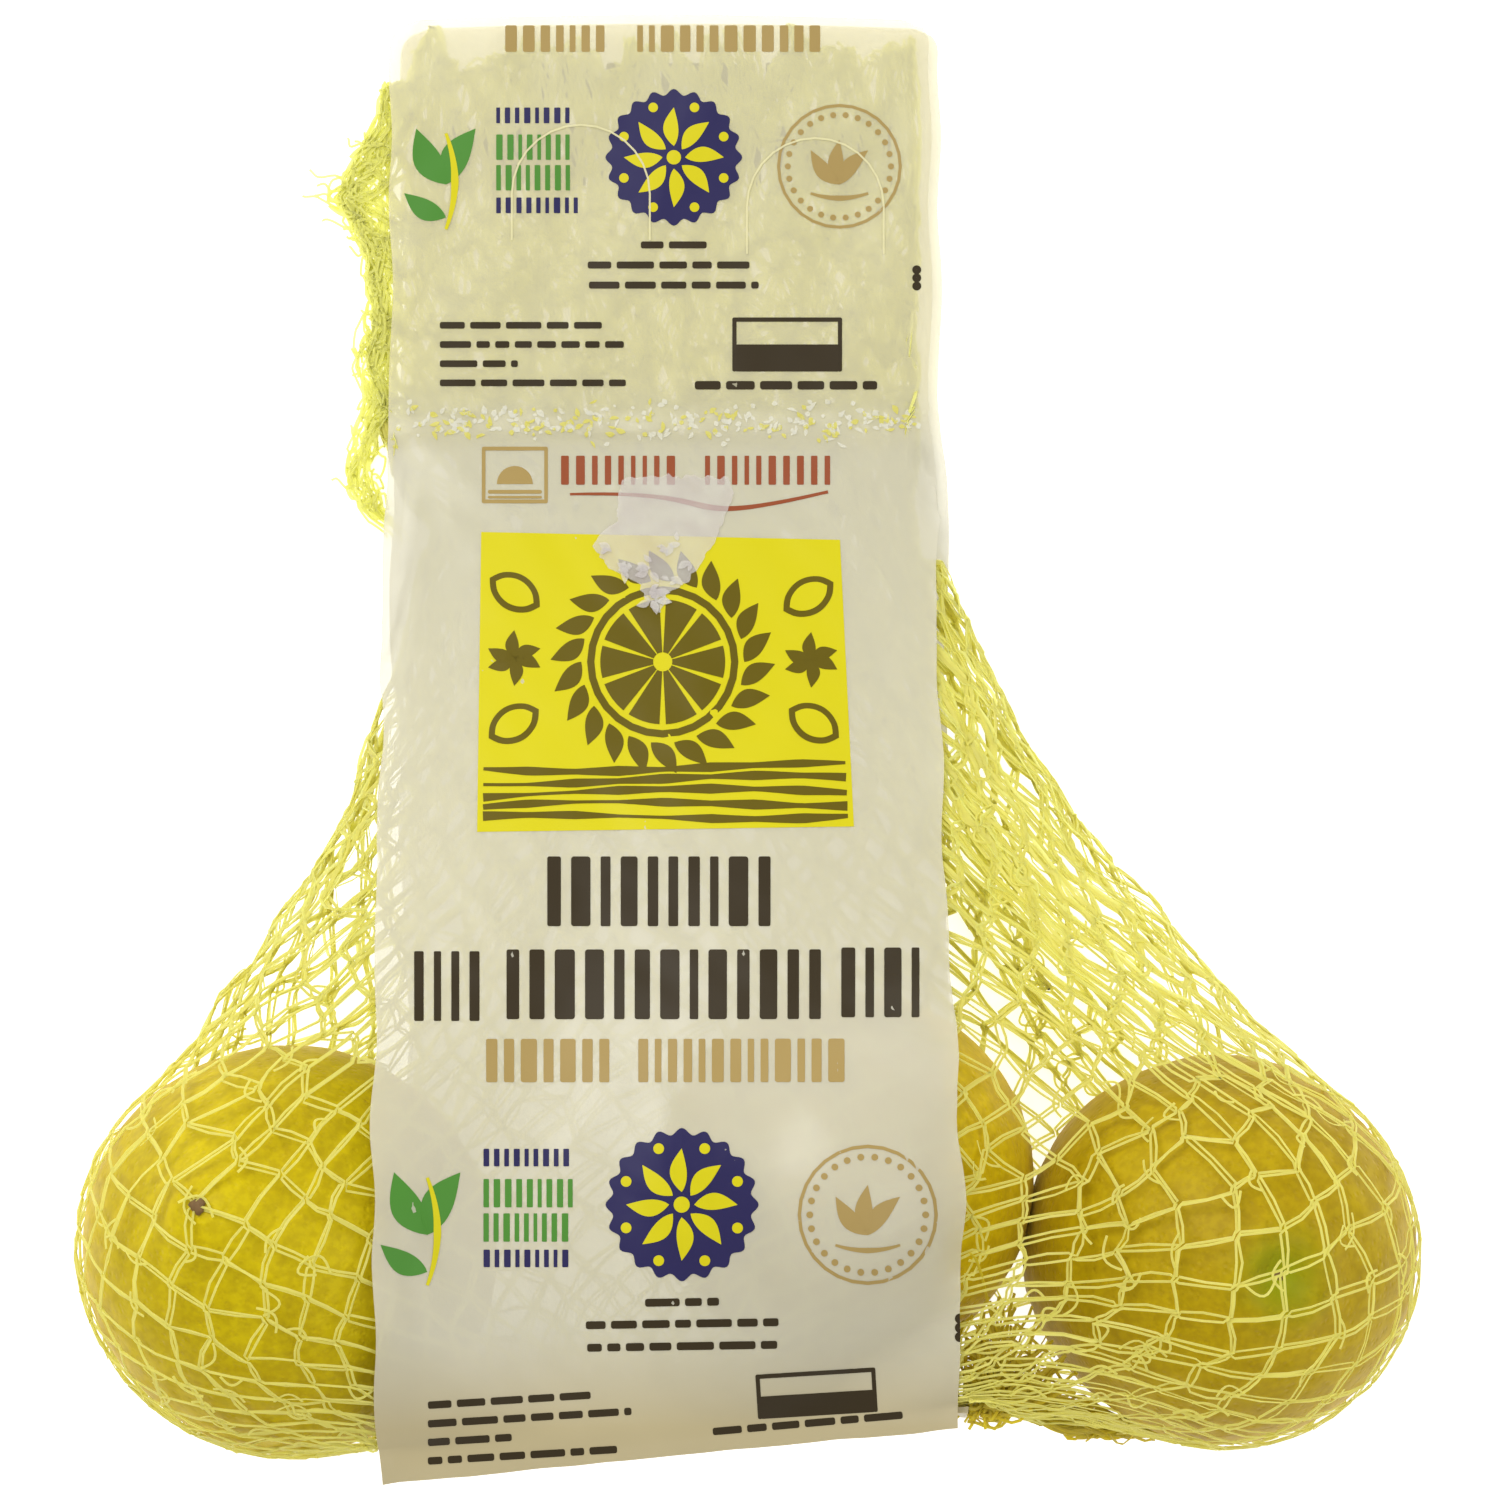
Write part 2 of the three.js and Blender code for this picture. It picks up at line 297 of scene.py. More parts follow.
def spaced_along(rings):
    """Spaces the rings evenly along each of the tube's lengths."""
    shares = np.linspace(0, 1, len(rings))
    return np.stack([points_on_path(rings[:, column], shares) for column in range(COLUMNS)], axis=1)


def relaxed_body():
    bottom = flat_ring(*(BOTTOM_WELD[key] for key in ("left", "right", "left_y", "right_y", "z")))
    wide = [wide_ring(ring / BODY_RINGS) for ring in range(1, BODY_RINGS)]
    rings = np.stack([header_ring(1), *wide, bottom])
    for _ in range(PASSES):
        rings = pull_together(rings)
        rings[1:-1] = np.stack([spaced_around(ring) for ring in rings[1:-1]])
        rings = spaced_along(rings)
    return rings


def smoothed(grid, closed):
    """The grid with FINE times as many rows, on smooth curves through the given ones."""
    count = len(grid)
    steps = np.arange(count * FINE if closed else (count - 1) * FINE + 1) / FINE
    base = np.floor(steps).astype(int)
    base = base if closed else np.minimum(base, count - 2)
    share = (steps - base)[:, None, None]
    place = [(base + k) % count if closed else np.clip(base + k, 0, count - 1) for k in (-1, 0, 1, 2)]
    a, b, c, d = (grid[index] for index in place)
    curve = 2 * b + (c - a) * share + (2 * a - 5 * b + 4 * c - d) * share**2
    return 0.5 * (curve + (3 * b - a - 3 * c + d) * share**3)


def net_surface():
    """The net's outer surface: places and outward directions on a fine grid of rings and columns."""
    header = np.stack([header_ring(ring / HEADER_RINGS) for ring in range(HEADER_RINGS)])
    rings = np.concatenate([header, relaxed_body()])
    fine = smoothed(rings, closed=False)
    fine = smoothed(fine.transpose(1, 0, 2), closed=True).transpose(1, 0, 2)
    fine = keep_out(fine)
    along = np.gradient(fine, axis=0)
    around = np.roll(fine, -1, axis=1) - np.roll(fine, 1, axis=1)
    return fine, unit(np.cross(along, around))


def sampled(grid, row, column, closed=False):
    """Places between the grid's own, at fractional rows and columns."""
    rows, columns = grid.shape[:2]
    row = np.clip(row, 0, rows - 1)
    low_row = np.minimum(np.floor(row).astype(int), rows - 2)
    down = (row - low_row)[..., None]
    if closed:
        low_column = np.floor(column).astype(int)
        right = (column - low_column)[..., None]
        low_column, high_column = low_column % columns, (low_column + 1) % columns
    else:
        column = np.clip(column, 0, columns - 1)
        low_column = np.minimum(np.floor(column).astype(int), columns - 2)
        right = (column - low_column)[..., None]
        high_column = low_column + 1
    upper = mix(grid[low_row, low_column], grid[low_row, high_column], right)
    lower = mix(grid[low_row + 1, low_column], grid[low_row + 1, high_column], right)
    return mix(upper, lower, down)


# Meshes

def mesh_piece(name, points, quads, material, slot, replaced):
    """A smooth mesh object from points in millimetres and rows of four corners."""
    mesh = bpy.data.meshes.new(name)
    quads = np.asarray(quads, dtype=np.int32)
    mesh.vertices.add(len(points))
    mesh.vertices.foreach_set("co", (np.asarray(points) * MM).astype(np.float32).ravel())
    mesh.loops.add(quads.size)
    mesh.loops.foreach_set("vertex_index", quads.ravel())
    mesh.polygons.add(len(quads))
    mesh.polygons.foreach_set("loop_start", np.arange(0, quads.size, 4, dtype=np.int32))
    mesh.polygons.foreach_set("use_smooth", np.ones(len(quads), dtype=bool))
    mesh.update(calc_edges=True)
    mesh.validate()
    mesh.set_sharp_from_angle(angle=math.radians(50))
    piece = bpy.data.objects.new(name, mesh)
    bpy.context.scene.collection.objects.link(piece)
    mesh.materials.append(material)
    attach(piece, "root")
    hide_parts(replaced)
    return piece


def grid_quads(rows, columns, closed=False):
    """Corners of a grid's faces, whose outside is seen where rows run down and columns to the right."""
    index = np.arange(rows * columns).reshape(rows, columns)
    if closed:
        index = np.concatenate([index, index[:, :1]], axis=1)
    corners = [index[:-1, :-1], index[1:, :-1], index[1:, 1:], index[:-1, 1:]]
    return np.stack(corners, axis=-1).reshape(-1, 4)


def slab(outer, inner):
    """Points and faces of a thin closed sheet between two grids."""
    rows, columns = outer.shape[:2]
    count = rows * columns
    index = np.arange(count).reshape(rows, columns)
    edge = np.concatenate([index[:-1, 0], index[-1, :-1], index[:0:-1, -1], index[0, :0:-1]])
    after = np.roll(edge, -1)
    side = np.stack([count + edge, count + after, after, edge], axis=1)
    face = grid_quads(rows, columns)
    faces = np.concatenate([face, face[:, ::-1] + count, side])
    return np.concatenate([outer.reshape(-1, 3), inner.reshape(-1, 3)]), faces


def joined(parts):
    """Points and faces of several parts as one mesh."""
    points, faces, start = [], [], 0
    for part_points, part_faces in parts:
        points.append(part_points)
        faces.append(part_faces + start)
        start += len(part_points)
    return np.concatenate(points), np.concatenate(faces)


def tapes(paths, normals, width, thickness, twist):
    """Points and faces of flat tapes along paths, each turned about its path by twist radians."""
    along = unit(np.gradient(paths, axis=1))
    across = unit(np.cross(normals, along))
    upright = np.cross(along, across)
    turn = twist[..., None]
    flat = across * np.cos(turn) + upright * np.sin(turn)
    edge = upright * np.cos(turn) - across * np.sin(turn)
    flat = flat * np.asarray(width)[..., None] / 2
    edge = edge * thickness / 2
    ring = [flat + edge, edge - flat, -flat - edge, flat - edge]
    points = np.stack([paths + step for step in ring], axis=2)
    count, length = paths.shape[:2]
    index = np.arange(count * length * 4).reshape(count, length, 4)
    after = np.roll(index, -1, axis=2)
    sides = np.stack([index[:, :-1], after[:, :-1], after[:, 1:], index[:, 1:]], axis=-1).reshape(-1, 4)
    caps = np.concatenate([index[:, 0, ::-1], index[:, -1]])
    return points.reshape(-1, 3), np.concatenate([sides, caps])


# Materials

def new_material(name):
    material = bpy.data.materials.new(name)
    material.use_nodes = True
    return material, material.node_tree, material.node_tree.nodes["Principled BSDF"]


def linear(red, green, blue):
    """The scene's linear colour for an 8-bit screen colour."""
    channels = [value / 255 for value in (red, green, blue)]
    return (*[c / 12.92 if c <= 0.04045 else ((c + 0.055) / 1.055) ** 2.4 for c in channels], 1.0)


def feed(tree, node, inputs):
    """Sets a node's inputs to the values given for them, or links them to the sockets given."""
    for name, value in inputs.items():
        if isinstance(value, bpy.types.NodeSocket):
            tree.links.new(value, node.inputs[name])
        else:
            node.inputs[name].default_value = value
    return node


def add_node(tree, kind, inputs, operation=None):
    node = tree.nodes.new(f"ShaderNode{kind}")
    if operation:
        node.operation = operation
    return feed(tree, node, inputs)


def object_place(tree):
    return add_node(tree, "TexCoord", {}).outputs["Object"]


def noise(tree, size, detail=3.0):
    """A noise texture in the object's own space, with features of the given size in millimetres."""
    inputs = {"Vector": object_place(tree), "Scale": 1 / (size * MM), "Detail": detail, "Roughness": 0.55}
    return add_node(tree, "TexNoise", inputs).outputs["Fac"]


def ramp(tree, value, stops):
    """Colours along a value: stops are two pairs of a position and a colour."""
    node = add_node(tree, "ValToRGB", {"Fac": value})
    for element, (position, colour) in zip(node.color_ramp.elements, stops):
        element.position = position
        element.color = colour
    return node.outputs["Color"]


def blended(tree, first, second, amount):
    node = tree.nodes.new("ShaderNodeMix")
    node.data_type = "RGBA"
    return feed(tree, node, {0: amount, 6: first, 7: second}).outputs[2]


def bump(tree, height, distance, strength, previous=None):
    """The surface's normal, roughened by a height that is scaled to distance millimetres."""
    inputs = {"Height": height, "Distance": distance * MM, "Strength": strength}
    if previous is not None:
        inputs["Normal"] = previous
    return add_node(tree, "Bump", inputs).outputs["Normal"]


def near_point(tree, point, far):
    """1 at a point, falling to 0 about far millimetres away, with an uneven edge."""
    ends = {0: object_place(tree), 1: [value * MM for value in point]}
    distance = add_node(tree, "VectorMath", ends, "DISTANCE").outputs["Value"]
    added = {0: noise(tree, FLUSH_EDGE), 1: FLUSH_EDGE * MM, 2: distance}
    uneven = add_node(tree, "Math", added, "MULTIPLY_ADD").outputs[0]
    start, end = FLUSH_EDGE / 2 * MM, (far + FLUSH_EDGE / 2) * MM
    limits = {"From Min": start, "From Max": end, "To Min": 1.0, "To Max": 0.0}
    fall = add_node(tree, "MapRange", {"Value": uneven, **limits})
    fall.interpolation_type = "SMOOTHSTEP"
    return fall.outputs["Result"]


def peel_material(name, painted_light_tone, green_at):
    """Waxy peel: mottled yellow with fine pits, and a green flush round one end."""
    # The tone scales the peel's red and green for each lemon: painted light and shade.
    def painted_light_toned(red, green):
        return linear(red * painted_light_tone[0], green * painted_light_tone[1], 0)

    material, tree, shader = new_material(name)
    broad = ramp(tree, noise(tree, 14.0, 2), [(0.35, painted_light_toned(180, 159)), (0.65, painted_light_toned(198, 179))])
    speckle = ramp(tree, noise(tree, 1.5, 2), [(0.38, painted_light_toned(170, 149)), (0.62, painted_light_toned(206, 189))])
    mottled = blended(tree, broad, speckle, 0.35)
    cells = add_node(tree, "TexVoronoi", {"Vector": object_place(tree), "Scale": 1 / (PIT_SPACING * MM)})
    pits = ramp(tree, cells.outputs["Distance"], [(0.05, (0, 0, 0, 1)), (0.4, (1, 1, 1, 1))])
    feed(tree, shader, {
        "Base Color": blended(tree, mottled, linear(142, 150, 4), near_point(tree, green_at, FLUSH_REACH)),
        "Normal": bump(tree, noise(tree, 4.0, 1), 0.35, 0.3, bump(tree, pits, 0.18, 0.6)),
        "Roughness": 0.5,
        "Specular IOR Level": 0.14,
        "Sheen Weight": 0.3,
        "Sheen Roughness": 0.45,
        "Sheen Tint": linear(255, 214, 110),
    })
    return material


def scar_material():
    """Dry brown skin."""
    material, tree, shader = new_material("end_scar")
    brown = linear(112, 82, 38)
    darker = [channel * 0.7 for channel in brown[:3]] + [1.0]
    shade = ramp(tree, noise(tree, 1.2), [(0.35, darker), (0.65, brown)])
    rough = bump(tree, noise(tree, 0.8), 0.2, 0.6)
    feed(tree, shader, {"Base Color": shade, "Roughness": 0.7, "Normal": rough})
    return material


def netting_material(name, colour, lit_through, share):
    """Drawn plastic tape: yellow, and lit through from behind."""
    material, tree, shader = new_material(name)
    feed(tree, shader, {"Base Color": linear(*colour), "Roughness": 0.42})
    through = add_node(tree, "BsdfTranslucent", {"Color": linear(*lit_through)})
    both = add_node(tree, "MixShader", {0: share, 1: shader.outputs[0], 2: through.outputs[0]})
    feed(tree, tree.nodes["Material Output"], {"Surface": both.outputs[0]})
    return material


def along_length(tree, start, end):
    """0 up to y = start millimetres, rising to 1 at y = end."""
    height = add_node(tree, "SeparateXYZ", {0: object_place(tree)}).outputs["Y"]
    inputs = {"Value": height, "From Min": start * MM, "From Max": end * MM}
    return add_node(tree, "MapRange", inputs).outputs["Result"]


def film_material():
    """Milky film with a soft sheen, clearer on the header, and less clear at its foot, where it is also
    darker in painted shade.
    """
    material, tree, shader = new_material("milky_film")
    colour, alpha = linear(*FILM_COLOUR), FILM_ALPHA
    for start, end, end_colour, end_alpha in FILM_ENDS:
        share = along_length(tree, start, end)
        colour = blended(tree, colour, linear(*end_colour), share)
        added = {0: share, 1: end_alpha - FILM_ALPHA, 2: alpha}
        alpha = add_node(tree, "Math", added, "MULTIPLY_ADD").outputs[0]
    feed(tree, shader, {"Base Color": colour, "Alpha": alpha, "Roughness": 0.34})
    return material


def ink_material(name, colour, alpha=1.0):
    """Printed ink, duller than the film."""
    material, tree, shader = new_material(name)
    inputs = {"Base Color": linear(*colour), "Roughness": 0.45, "Specular IOR Level": 0.2, "Alpha": alpha}
    feed(tree, shader, inputs)
    return material


def remnant_material():
    material, tree, shader = new_material("remnant")
    cloud = ramp(tree, noise(tree, 5.0, 2), [(0.35, linear(222, 214, 208)), (0.6, linear(232, 228, 218))])
    feed(tree, shader, {"Base Color": cloud, "Alpha": 0.27, "Roughness": 0.6})
    return material


# Lemons

LEMON_RINGS = 76
LEMON_SIDES = 128
SCAR_RINGS = 8
SCAR_SIDES = 20
TIP_RISE = 4.0
TIP_SPREAD = 0.24
PIT_SPACING = 1.35
FLUSH_REACH = 11.5
FLUSH_EDGE = 6.0


def ball_angles(rings, sides):
    """A column of angles from the upper pole and a row of turns round the axis."""
    turn = np.linspace(0, 2 * math.pi, sides, endpoint=False)
    return np.linspace(0, math.pi, rings)[:, None], turn[None, :]


def round_points(centre, axes, radius, turn, height):
    """Points at a radius and a turn round the last of three axes, at a height along it."""
    side, other, axis = axes
    points = centre + (radius * np.cos(turn))[..., None] * side + (radius * np.sin(turn))[..., None] * other
    return points + np.broadcast_to(height, radius.shape)[..., None] * axis


def lemon_points(lemon, seed):
    """A lemon's surface from its upper pole to its lower one, its two poles and its axis."""
    centre, matrix = lemon_ball(lemon, 0.0)
    axes = [unit(matrix[:, k]) for k in range(3)]
    polar, turn = ball_angles(LEMON_RINGS, LEMON_SIDES)
    from_tip = polar if lemon["tip_up"] else math.pi - polar
    from_stem = math.pi - from_tip
    collar = 1.6 * bell(from_stem, 0.12, 0.2) - 1.8 * bell(from_stem, 0.09)
    half = lemon["half"] + PEEL_SKIN - TIP_RISE
    rise = TIP_RISE * bell(from_tip, TIP_SPREAD)
    height = half * np.cos(polar) + np.sign(np.cos(polar)) * (rise + collar)
    radius = (lemon["radius"] + PEEL_SKIN) * np.sin(polar) ** 0.96
    spot = stacked(np.sin(polar) * np.cos(turn), np.sin(polar) * np.sin(turn), np.cos(polar))
    lumps = 0.35 * ripple(spot, 1.1, seed) + 0.10 * ripple(spot * 33, 5.0, seed + 1, 24)
    radius = radius * (1 - 0.006) + lumps * np.sin(polar)
    points = round_points(centre, axes, radius, turn, height)
    return points, points[0, 0], points[-1, 0], axes[2]


def closed_ball(points):
    """Points and faces of a grid whose first and last rows are poles, each of them one point."""
    rows, sides = points.shape[:2]
    body = points[1:-1].reshape(-1, 3)
    faces = grid_quads(rows - 2, sides, closed=True)
    first = np.arange(sides)
    last = (rows - 3) * sides + first
    pairs = np.arange(0, sides, 2)
    pole = np.full(len(pairs), len(body))
    after = (pairs + 2) % sides
    upper = np.stack([pole, first[pairs], first[pairs + 1], first[after]], axis=1)
    lower = np.stack([pole + 1, last[after], last[pairs + 1], last[pairs]], axis=1)
    ends = np.stack([points[0].mean(0), points[-1].mean(0)])
    return np.concatenate([body, ends]), np.concatenate([faces, upper, lower])


def scar(name, place, axis, radius, material):
    """The small raised scar at a lemon's end: a rough button with an uneven rim."""
    polar, turn = ball_angles(SCAR_RINGS, SCAR_SIDES)
    side = unit(np.cross(axis, [0.3, 1.0, 0.2]))
    uneven = 1 + 0.18 * np.sin(3 * turn + 1) + 0.1 * np.sin(7 * turn)
    wide = radius * np.sin(polar) * uneven
    axes = (side, np.cross(axis, side), axis)
    points = round_points(place, axes, wide, turn, 0.45 * radius * np.cos(polar))
    return mesh_piece(name, *closed_ball(points), material, "peel", "net_bag")


def make_lemons():
    scarred = scar_material()
    for seed, (name, lemon) in enumerate(LEMONS.items()):
        points, upper, lower, axis = lemon_points(lemon, 20 + 5 * seed)
        stem_end = lower if lemon["tip_up"] else upper
        # The peel's colours are scaled by the lemon's tone, a painted light and shade.
        material = peel_material(f"peel_{name}", lemon["painted_light_tone"], stem_end)
        mesh_piece(f"lemon_{name}", *closed_ball(points), material, "peel", "net_bag")
        scar(f"scar_upper_{name}", upper + 0.3 * axis, axis, lemon["scar"], scarred)
        scar(f"scar_lower_{name}", lower - 0.3 * axis, axis, lemon["scar"], scarred)


# Net

def each(count, low, high):
    """A column of random values between low and high, one for each of count threads."""
    return random.uniform(low, high, (count, 1))


def knot_places():
    """Each knot's share of the way round and its ring, unevenly spaced."""
    row = np.arange(STEPS + 1)
    body_row = row - HEADER_STEPS
    header_ring_at = HEADER_RINGS * row / HEADER_STEPS
    ring = np.where(body_row <= 0, header_ring_at, HEADER_RINGS + BODY_RINGS * body_row / BODY_STEPS)
    across = (np.arange(KNOTS)[None, :] + 0.5 * (row % 2)[:, None]) / KNOTS
    inner = np.sin(np.pi * (row / STEPS))[:, None] ** 0.3
    across = across + random.normal(0, KNOT_SCATTER, across.shape) * inner / KNOTS
    wide = 2 * (HEADER_NET["right"] - HEADER_NET["left"])
    header_end = HEADER_RINGS * (HEADER_RING_LENGTH - BODY_RING_LENGTH)
    down = np.where(ring < HEADER_RINGS, ring * HEADER_RING_LENGTH, header_end + ring * BODY_RING_LENGTH)
    spots = stacked(np.cos(across * 2 * math.pi) * 30, across * wide, down[:, None])
    slack = np.clip(1.6 - ring / 14, 0.15, 1)[:, None] * inner
    across = across + BUNCHING / wide * slack * ripple(spots, 9.0, 17)
    ring = ring[:, None] + random.normal(0, RING_SCATTER, across.shape) * inner * BODY_RINGS / BODY_STEPS
    return across, ring


def chain_paths(fine, normals):
    """Every chain's middle line, from knot to knot: places, outward directions and rings."""
    across, ring = knot_places()
    chain = np.arange(CHAINS)[:, None]
    row = np.arange(STEPS + 1)[None, :]
    knot = np.where(row % 2 == 0, (chain + 1) // 2, chain // 2)
    at_across = across[row, knot % KNOTS] + knot // KNOTS
    at_ring = ring[row, knot % KNOTS]
    path_across = at_across[:, :-1, None] + np.diff(at_across, axis=1)[..., None] * STEP_BENDS
    path_ring = at_ring[:, :-1, None] + np.diff(at_ring, axis=1)[..., None] * STEP_SHARES
    path_across = np.concatenate([path_across.reshape(CHAINS, -1), at_across[:, -1:]], axis=1)
    path_ring = np.concatenate([path_ring.reshape(CHAINS, -1), at_ring[:, -1:]], axis=1)
    column = (path_across * COLUMNS - 0.5) * FINE
    places = sampled(fine, path_ring * FINE, column, closed=True)
    upright = unit(sampled(normals, path_ring * FINE, column, closed=True))
    return with_loose_edge(places, path_across % 1), upright, path_ring


def with_loose_edge(places, across):
    """Lets the net's left edge out past the films beside the header, and its top rise between them."""
    width = HEADER_NET["right"] - HEADER_NET["left"]
    beside = bell(np.minimum(across, 1 - across) * 2 * width, LOOSE_EDGE_WIDTH)
    height = np.clip((places[..., 1] - LOOSE_EDGE_FROM) / LOOSE_EDGE_FADE, 0, 1)
    moved = places.copy()
    moved[..., 0] -= loose_reach(places[..., 1]) * height * beside
    held = np.minimum(moved[..., 0], HEADER_NET["right"] - 1.2)
    moved[..., 0] = np.where(height > 0, held, moved[..., 0])
    rise = NET_RISE * np.clip((places[..., 1] - NET_RISE_FROM) / NET_RISE_LENGTH, 0, 1) * (1 - beside)
    moved[..., 1] += rise * (1 + 0.55 * ripple(places[..., :1], 13.0, 9) + 0.3 * ripple(places, 6.0, 10))
    return moved


def loose_reach(y):
    heights, reaches = zip(*LOOSE_EDGE)
    return np.interp(y, heights, reaches)


def under_film(places):
    x = places[..., 0]
    return (x > BACK_FILM["left"] - 1) & (x < BACK_FILM["right"] + LOWER_SHIFT + 1)


def distance_to_lemons(points):
    """About how far points are outside the nearest lemon."""
    nearest = np.full(points.shape[:-1], 1e9)
    for centre, matrix in NET_BALLS:
        inside = (points - centre) @ np.linalg.inv(matrix).T
        nearest = np.minimum(nearest, (np.linalg.norm(inside, axis=-1) - 1) * 34)
    return nearest


def waved(places, upright, ring):
    """Lifts and lowers the net a little where it is held neither by lemons nor by the films."""
    free = np.clip(distance_to_lemons(places) / 8, 0, 1) * np.clip((ring - HEADER_RINGS) / 3, 0, 1)
    free = np.where(under_film(places), 0.0, free)
    return places + upright * (free * 0.9 * ripple(places, 16.0, 3) - 0.3)[..., None]


def cell_shape(ring):
    """How far each chain stands aside, how far its two tapes part, which is which, and their widths."""
    chain, step = np.indices(ring.shape)
    row, phase = step // STEP_POINTS, step % STEP_POINTS
    at_knot = np.where(row % 2 == chain % 2, 1.0, -1.0)
    aside = np.choose(phase, [at_knot, at_knot * 0.8, 0 * at_knot, -0.8 * at_knot]) * 0.36
    bow = random.normal(0, 0.34, (CHAINS, STEPS + 1))[chain, row]
    aside = aside + bow * np.choose(phase, [0.0, 0.6, 1.0, 0.6])
    opened = random.gamma(2.2, 0.11, (CHAINS, STEPS + 1))[chain, row]
    eye = 0.12 + opened * np.choose(phase, [0.0, 0.75, 1.0, 0.75])
    neck = np.clip(1 - (ring - HEADER_RINGS) / NECK_RINGS, 0, 1)
    width = np.where(ring < HEADER_RINGS, HEADER_TAPE_WIDTH, mix(TAPE_WIDTH, NECK_TAPE_WIDTH, neck))
    side = random.choice([-1.0, 1.0], (CHAINS, STEPS + 1))[chain, row] * np.where(phase == 0, 0.4, 1.0)
    return aside, eye, side, width


def net_piece(name, body, material):
    mesh_piece(f"net_{name}", *body, material, "net", "net_bag")


def make_net(fine, normals):
    # The loose netting is a paler copy, painted light; the bunched one is a darker copy, painted shade.
    material, loose, bunched = (netting_material(name, *look) for name, look in NETTING.items())
    places, upright, ring = chain_paths(fine, normals)
    places = waved(places, upright, ring)
    along = unit(np.gradient(places, axis=1))
    sideways = unit(np.cross(upright, along))
    aside, eye, side, width = cell_shape(ring)
    quarter = CHAINS // 4
    extents = {"header": np.s_[:, :HEADER_CUT + 1]}
    for index, name in enumerate(("front_left", "front_right", "back_right", "back_left")):
        extents[name] = np.s_[index * quarter:(index + 1) * quarter, HEADER_CUT:]
    parts = {name: [] for name in extents}
    for tape in (-1.0, 1.0):
        sign = tape * side
        shift = aside + sign * eye
        shake = random.normal(0, 0.09, places.shape)
        paths = places + sideways * shift[..., None] + upright * (0.12 * sign)[..., None] + shake
        twist = np.cumsum(random.normal(0, 0.16, ring.shape), axis=1)
        twist = 0.6 * np.sin(twist + each(CHAINS, 0, 6))
        for name, part in extents.items():
            parts[name].append(tapes(paths[part], upright[part], width[part], TAPE_THICKNESS, twist[part]))
    for name, tape_parts in parts.items():
        net_piece(name, joined(tape_parts), loose if name == "header" else material)
    slack_filaments(places, upright, sideways, loose)
    hooks(places, upright, along, sideways, material)
    # The gathered corner takes the darker copy of the netting, a painted shade.
    gathered_corner(bunched)
    frayed_edge(loose)


def slack_filaments(places, upright, sideways, material):
    """Finer threads that wander between the strands of the header and the neck, where the net is slack."""
    places, upright, sideways = (grid[:, :SLACK_STEPS] for grid in (places, upright, sideways))
    wander = np.cumsum(random.normal(0, 0.55, places.shape[:2]), axis=1) + each(CHAINS, 0, 6)
    fade = np.clip((SLACK_STEPS - np.arange(SLACK_STEPS)) / 24, 0, 1)
    side = 1.4 * fade * np.sin(wander)
    lift = 0.2 * fade * np.cos(1.7 * wander)
    paths = places + sideways * side[..., None] + upright * lift[..., None]
    kept = np.r_[0:HEADER_CUT:2, HEADER_CUT:SLACK_STEPS]
    twist = 0.8 * np.sin(wander[:, kept])
    body = tapes(paths[:, kept], upright[:, kept], SLACK_WIDTH, THREAD_THICKNESS, twist)
    net_piece("slack_filaments", body, material)


def thread_piece(name, paths, facing, width, thickness, turn, material):
    """A piece of loose threads, each of them turned about its path by up to turn radians."""
    twist = each(len(paths), -turn, turn) * np.ones((1, paths.shape[1]))
    net_piece(name, tapes(paths, np.broadcast_to(facing, paths.shape), width, thickness, twist), material)


def hooks(places, upright, along, sideways, material):
    """Slack threads that bow out of the strands into the cells."""
    chain, step = np.nonzero(~under_film(places))
    outside = step > HEADER_CUT + 2
    chosen = random.choice(np.nonzero(outside)[0], HOOKS, replace=False)
    chain, step = chain[chosen], step[chosen]
    share = np.linspace(0, 1, HOOK_POINTS)[None, :, None]
    length = each(HOOKS, 3.0, 6.5)[..., None]
    bow = each(HOOKS, 0.8, 2.6)[..., None] * random.choice([-1, 1], (HOOKS, 1, 1))
    start, forward, side, up = (grid[chain, step][:, None] for grid in (places, along, sideways, upright))
    paths = start + forward * length * (share - 0.5) + side * bow * np.sin(np.pi * share) + up * 0.1
    paths = keep_out(paths, lemon_balls(THREAD_SKIN))
    thread_piece("slack_threads", paths, up, HOOK_WIDTH, THREAD_THICKNESS, 0.6, material)


def gathered_corner(material):
    """The spare net that is bunched up along the bottom edge, from the weld's right end outwards."""
    share = np.linspace(0, 1, GATHERED_POINTS)[None, :]
    start = 0.8 * each(GATHERED, 0, 1) ** 1.5 - 0.05
    at = np.clip(start + each(GATHERED, 0.15, 0.4) * share, 0, 1)
    fold = np.array(GATHERED_FOLD)
    paths = interpolated(at, np.linspace(0, 1, len(fold)), fold)
    inwards = random.gamma(1.6, 2.2, (GATHERED, 1)) * (1 - 0.6 * at + 1.1 * bell(at, 0.12)) - 1.2
    wave = each(GATHERED, 0.3, 1.3) * np.sin(share * each(GATHERED, 3, 12) + 9 * start)
    knob = 2.6 * bell(at, 0.07, 0.14) * each(GATHERED, 0, 1)
    paths[..., 1] += 0.8 * inwards + wave - knob
    paths[..., 2] += 0.5 * inwards + 0.6 * wave - each(GATHERED, 0, 4)
    paths = np.concatenate([keep_out(paths, lemon_balls(THREAD_SKIN)), corner_spray(share)])
    facing = unit(np.array([0.1, -0.4, 1.0]))
    thread_piece("gathered", paths, facing, GATHERED_WIDTH, TAPE_THICKNESS, 1.0, material)


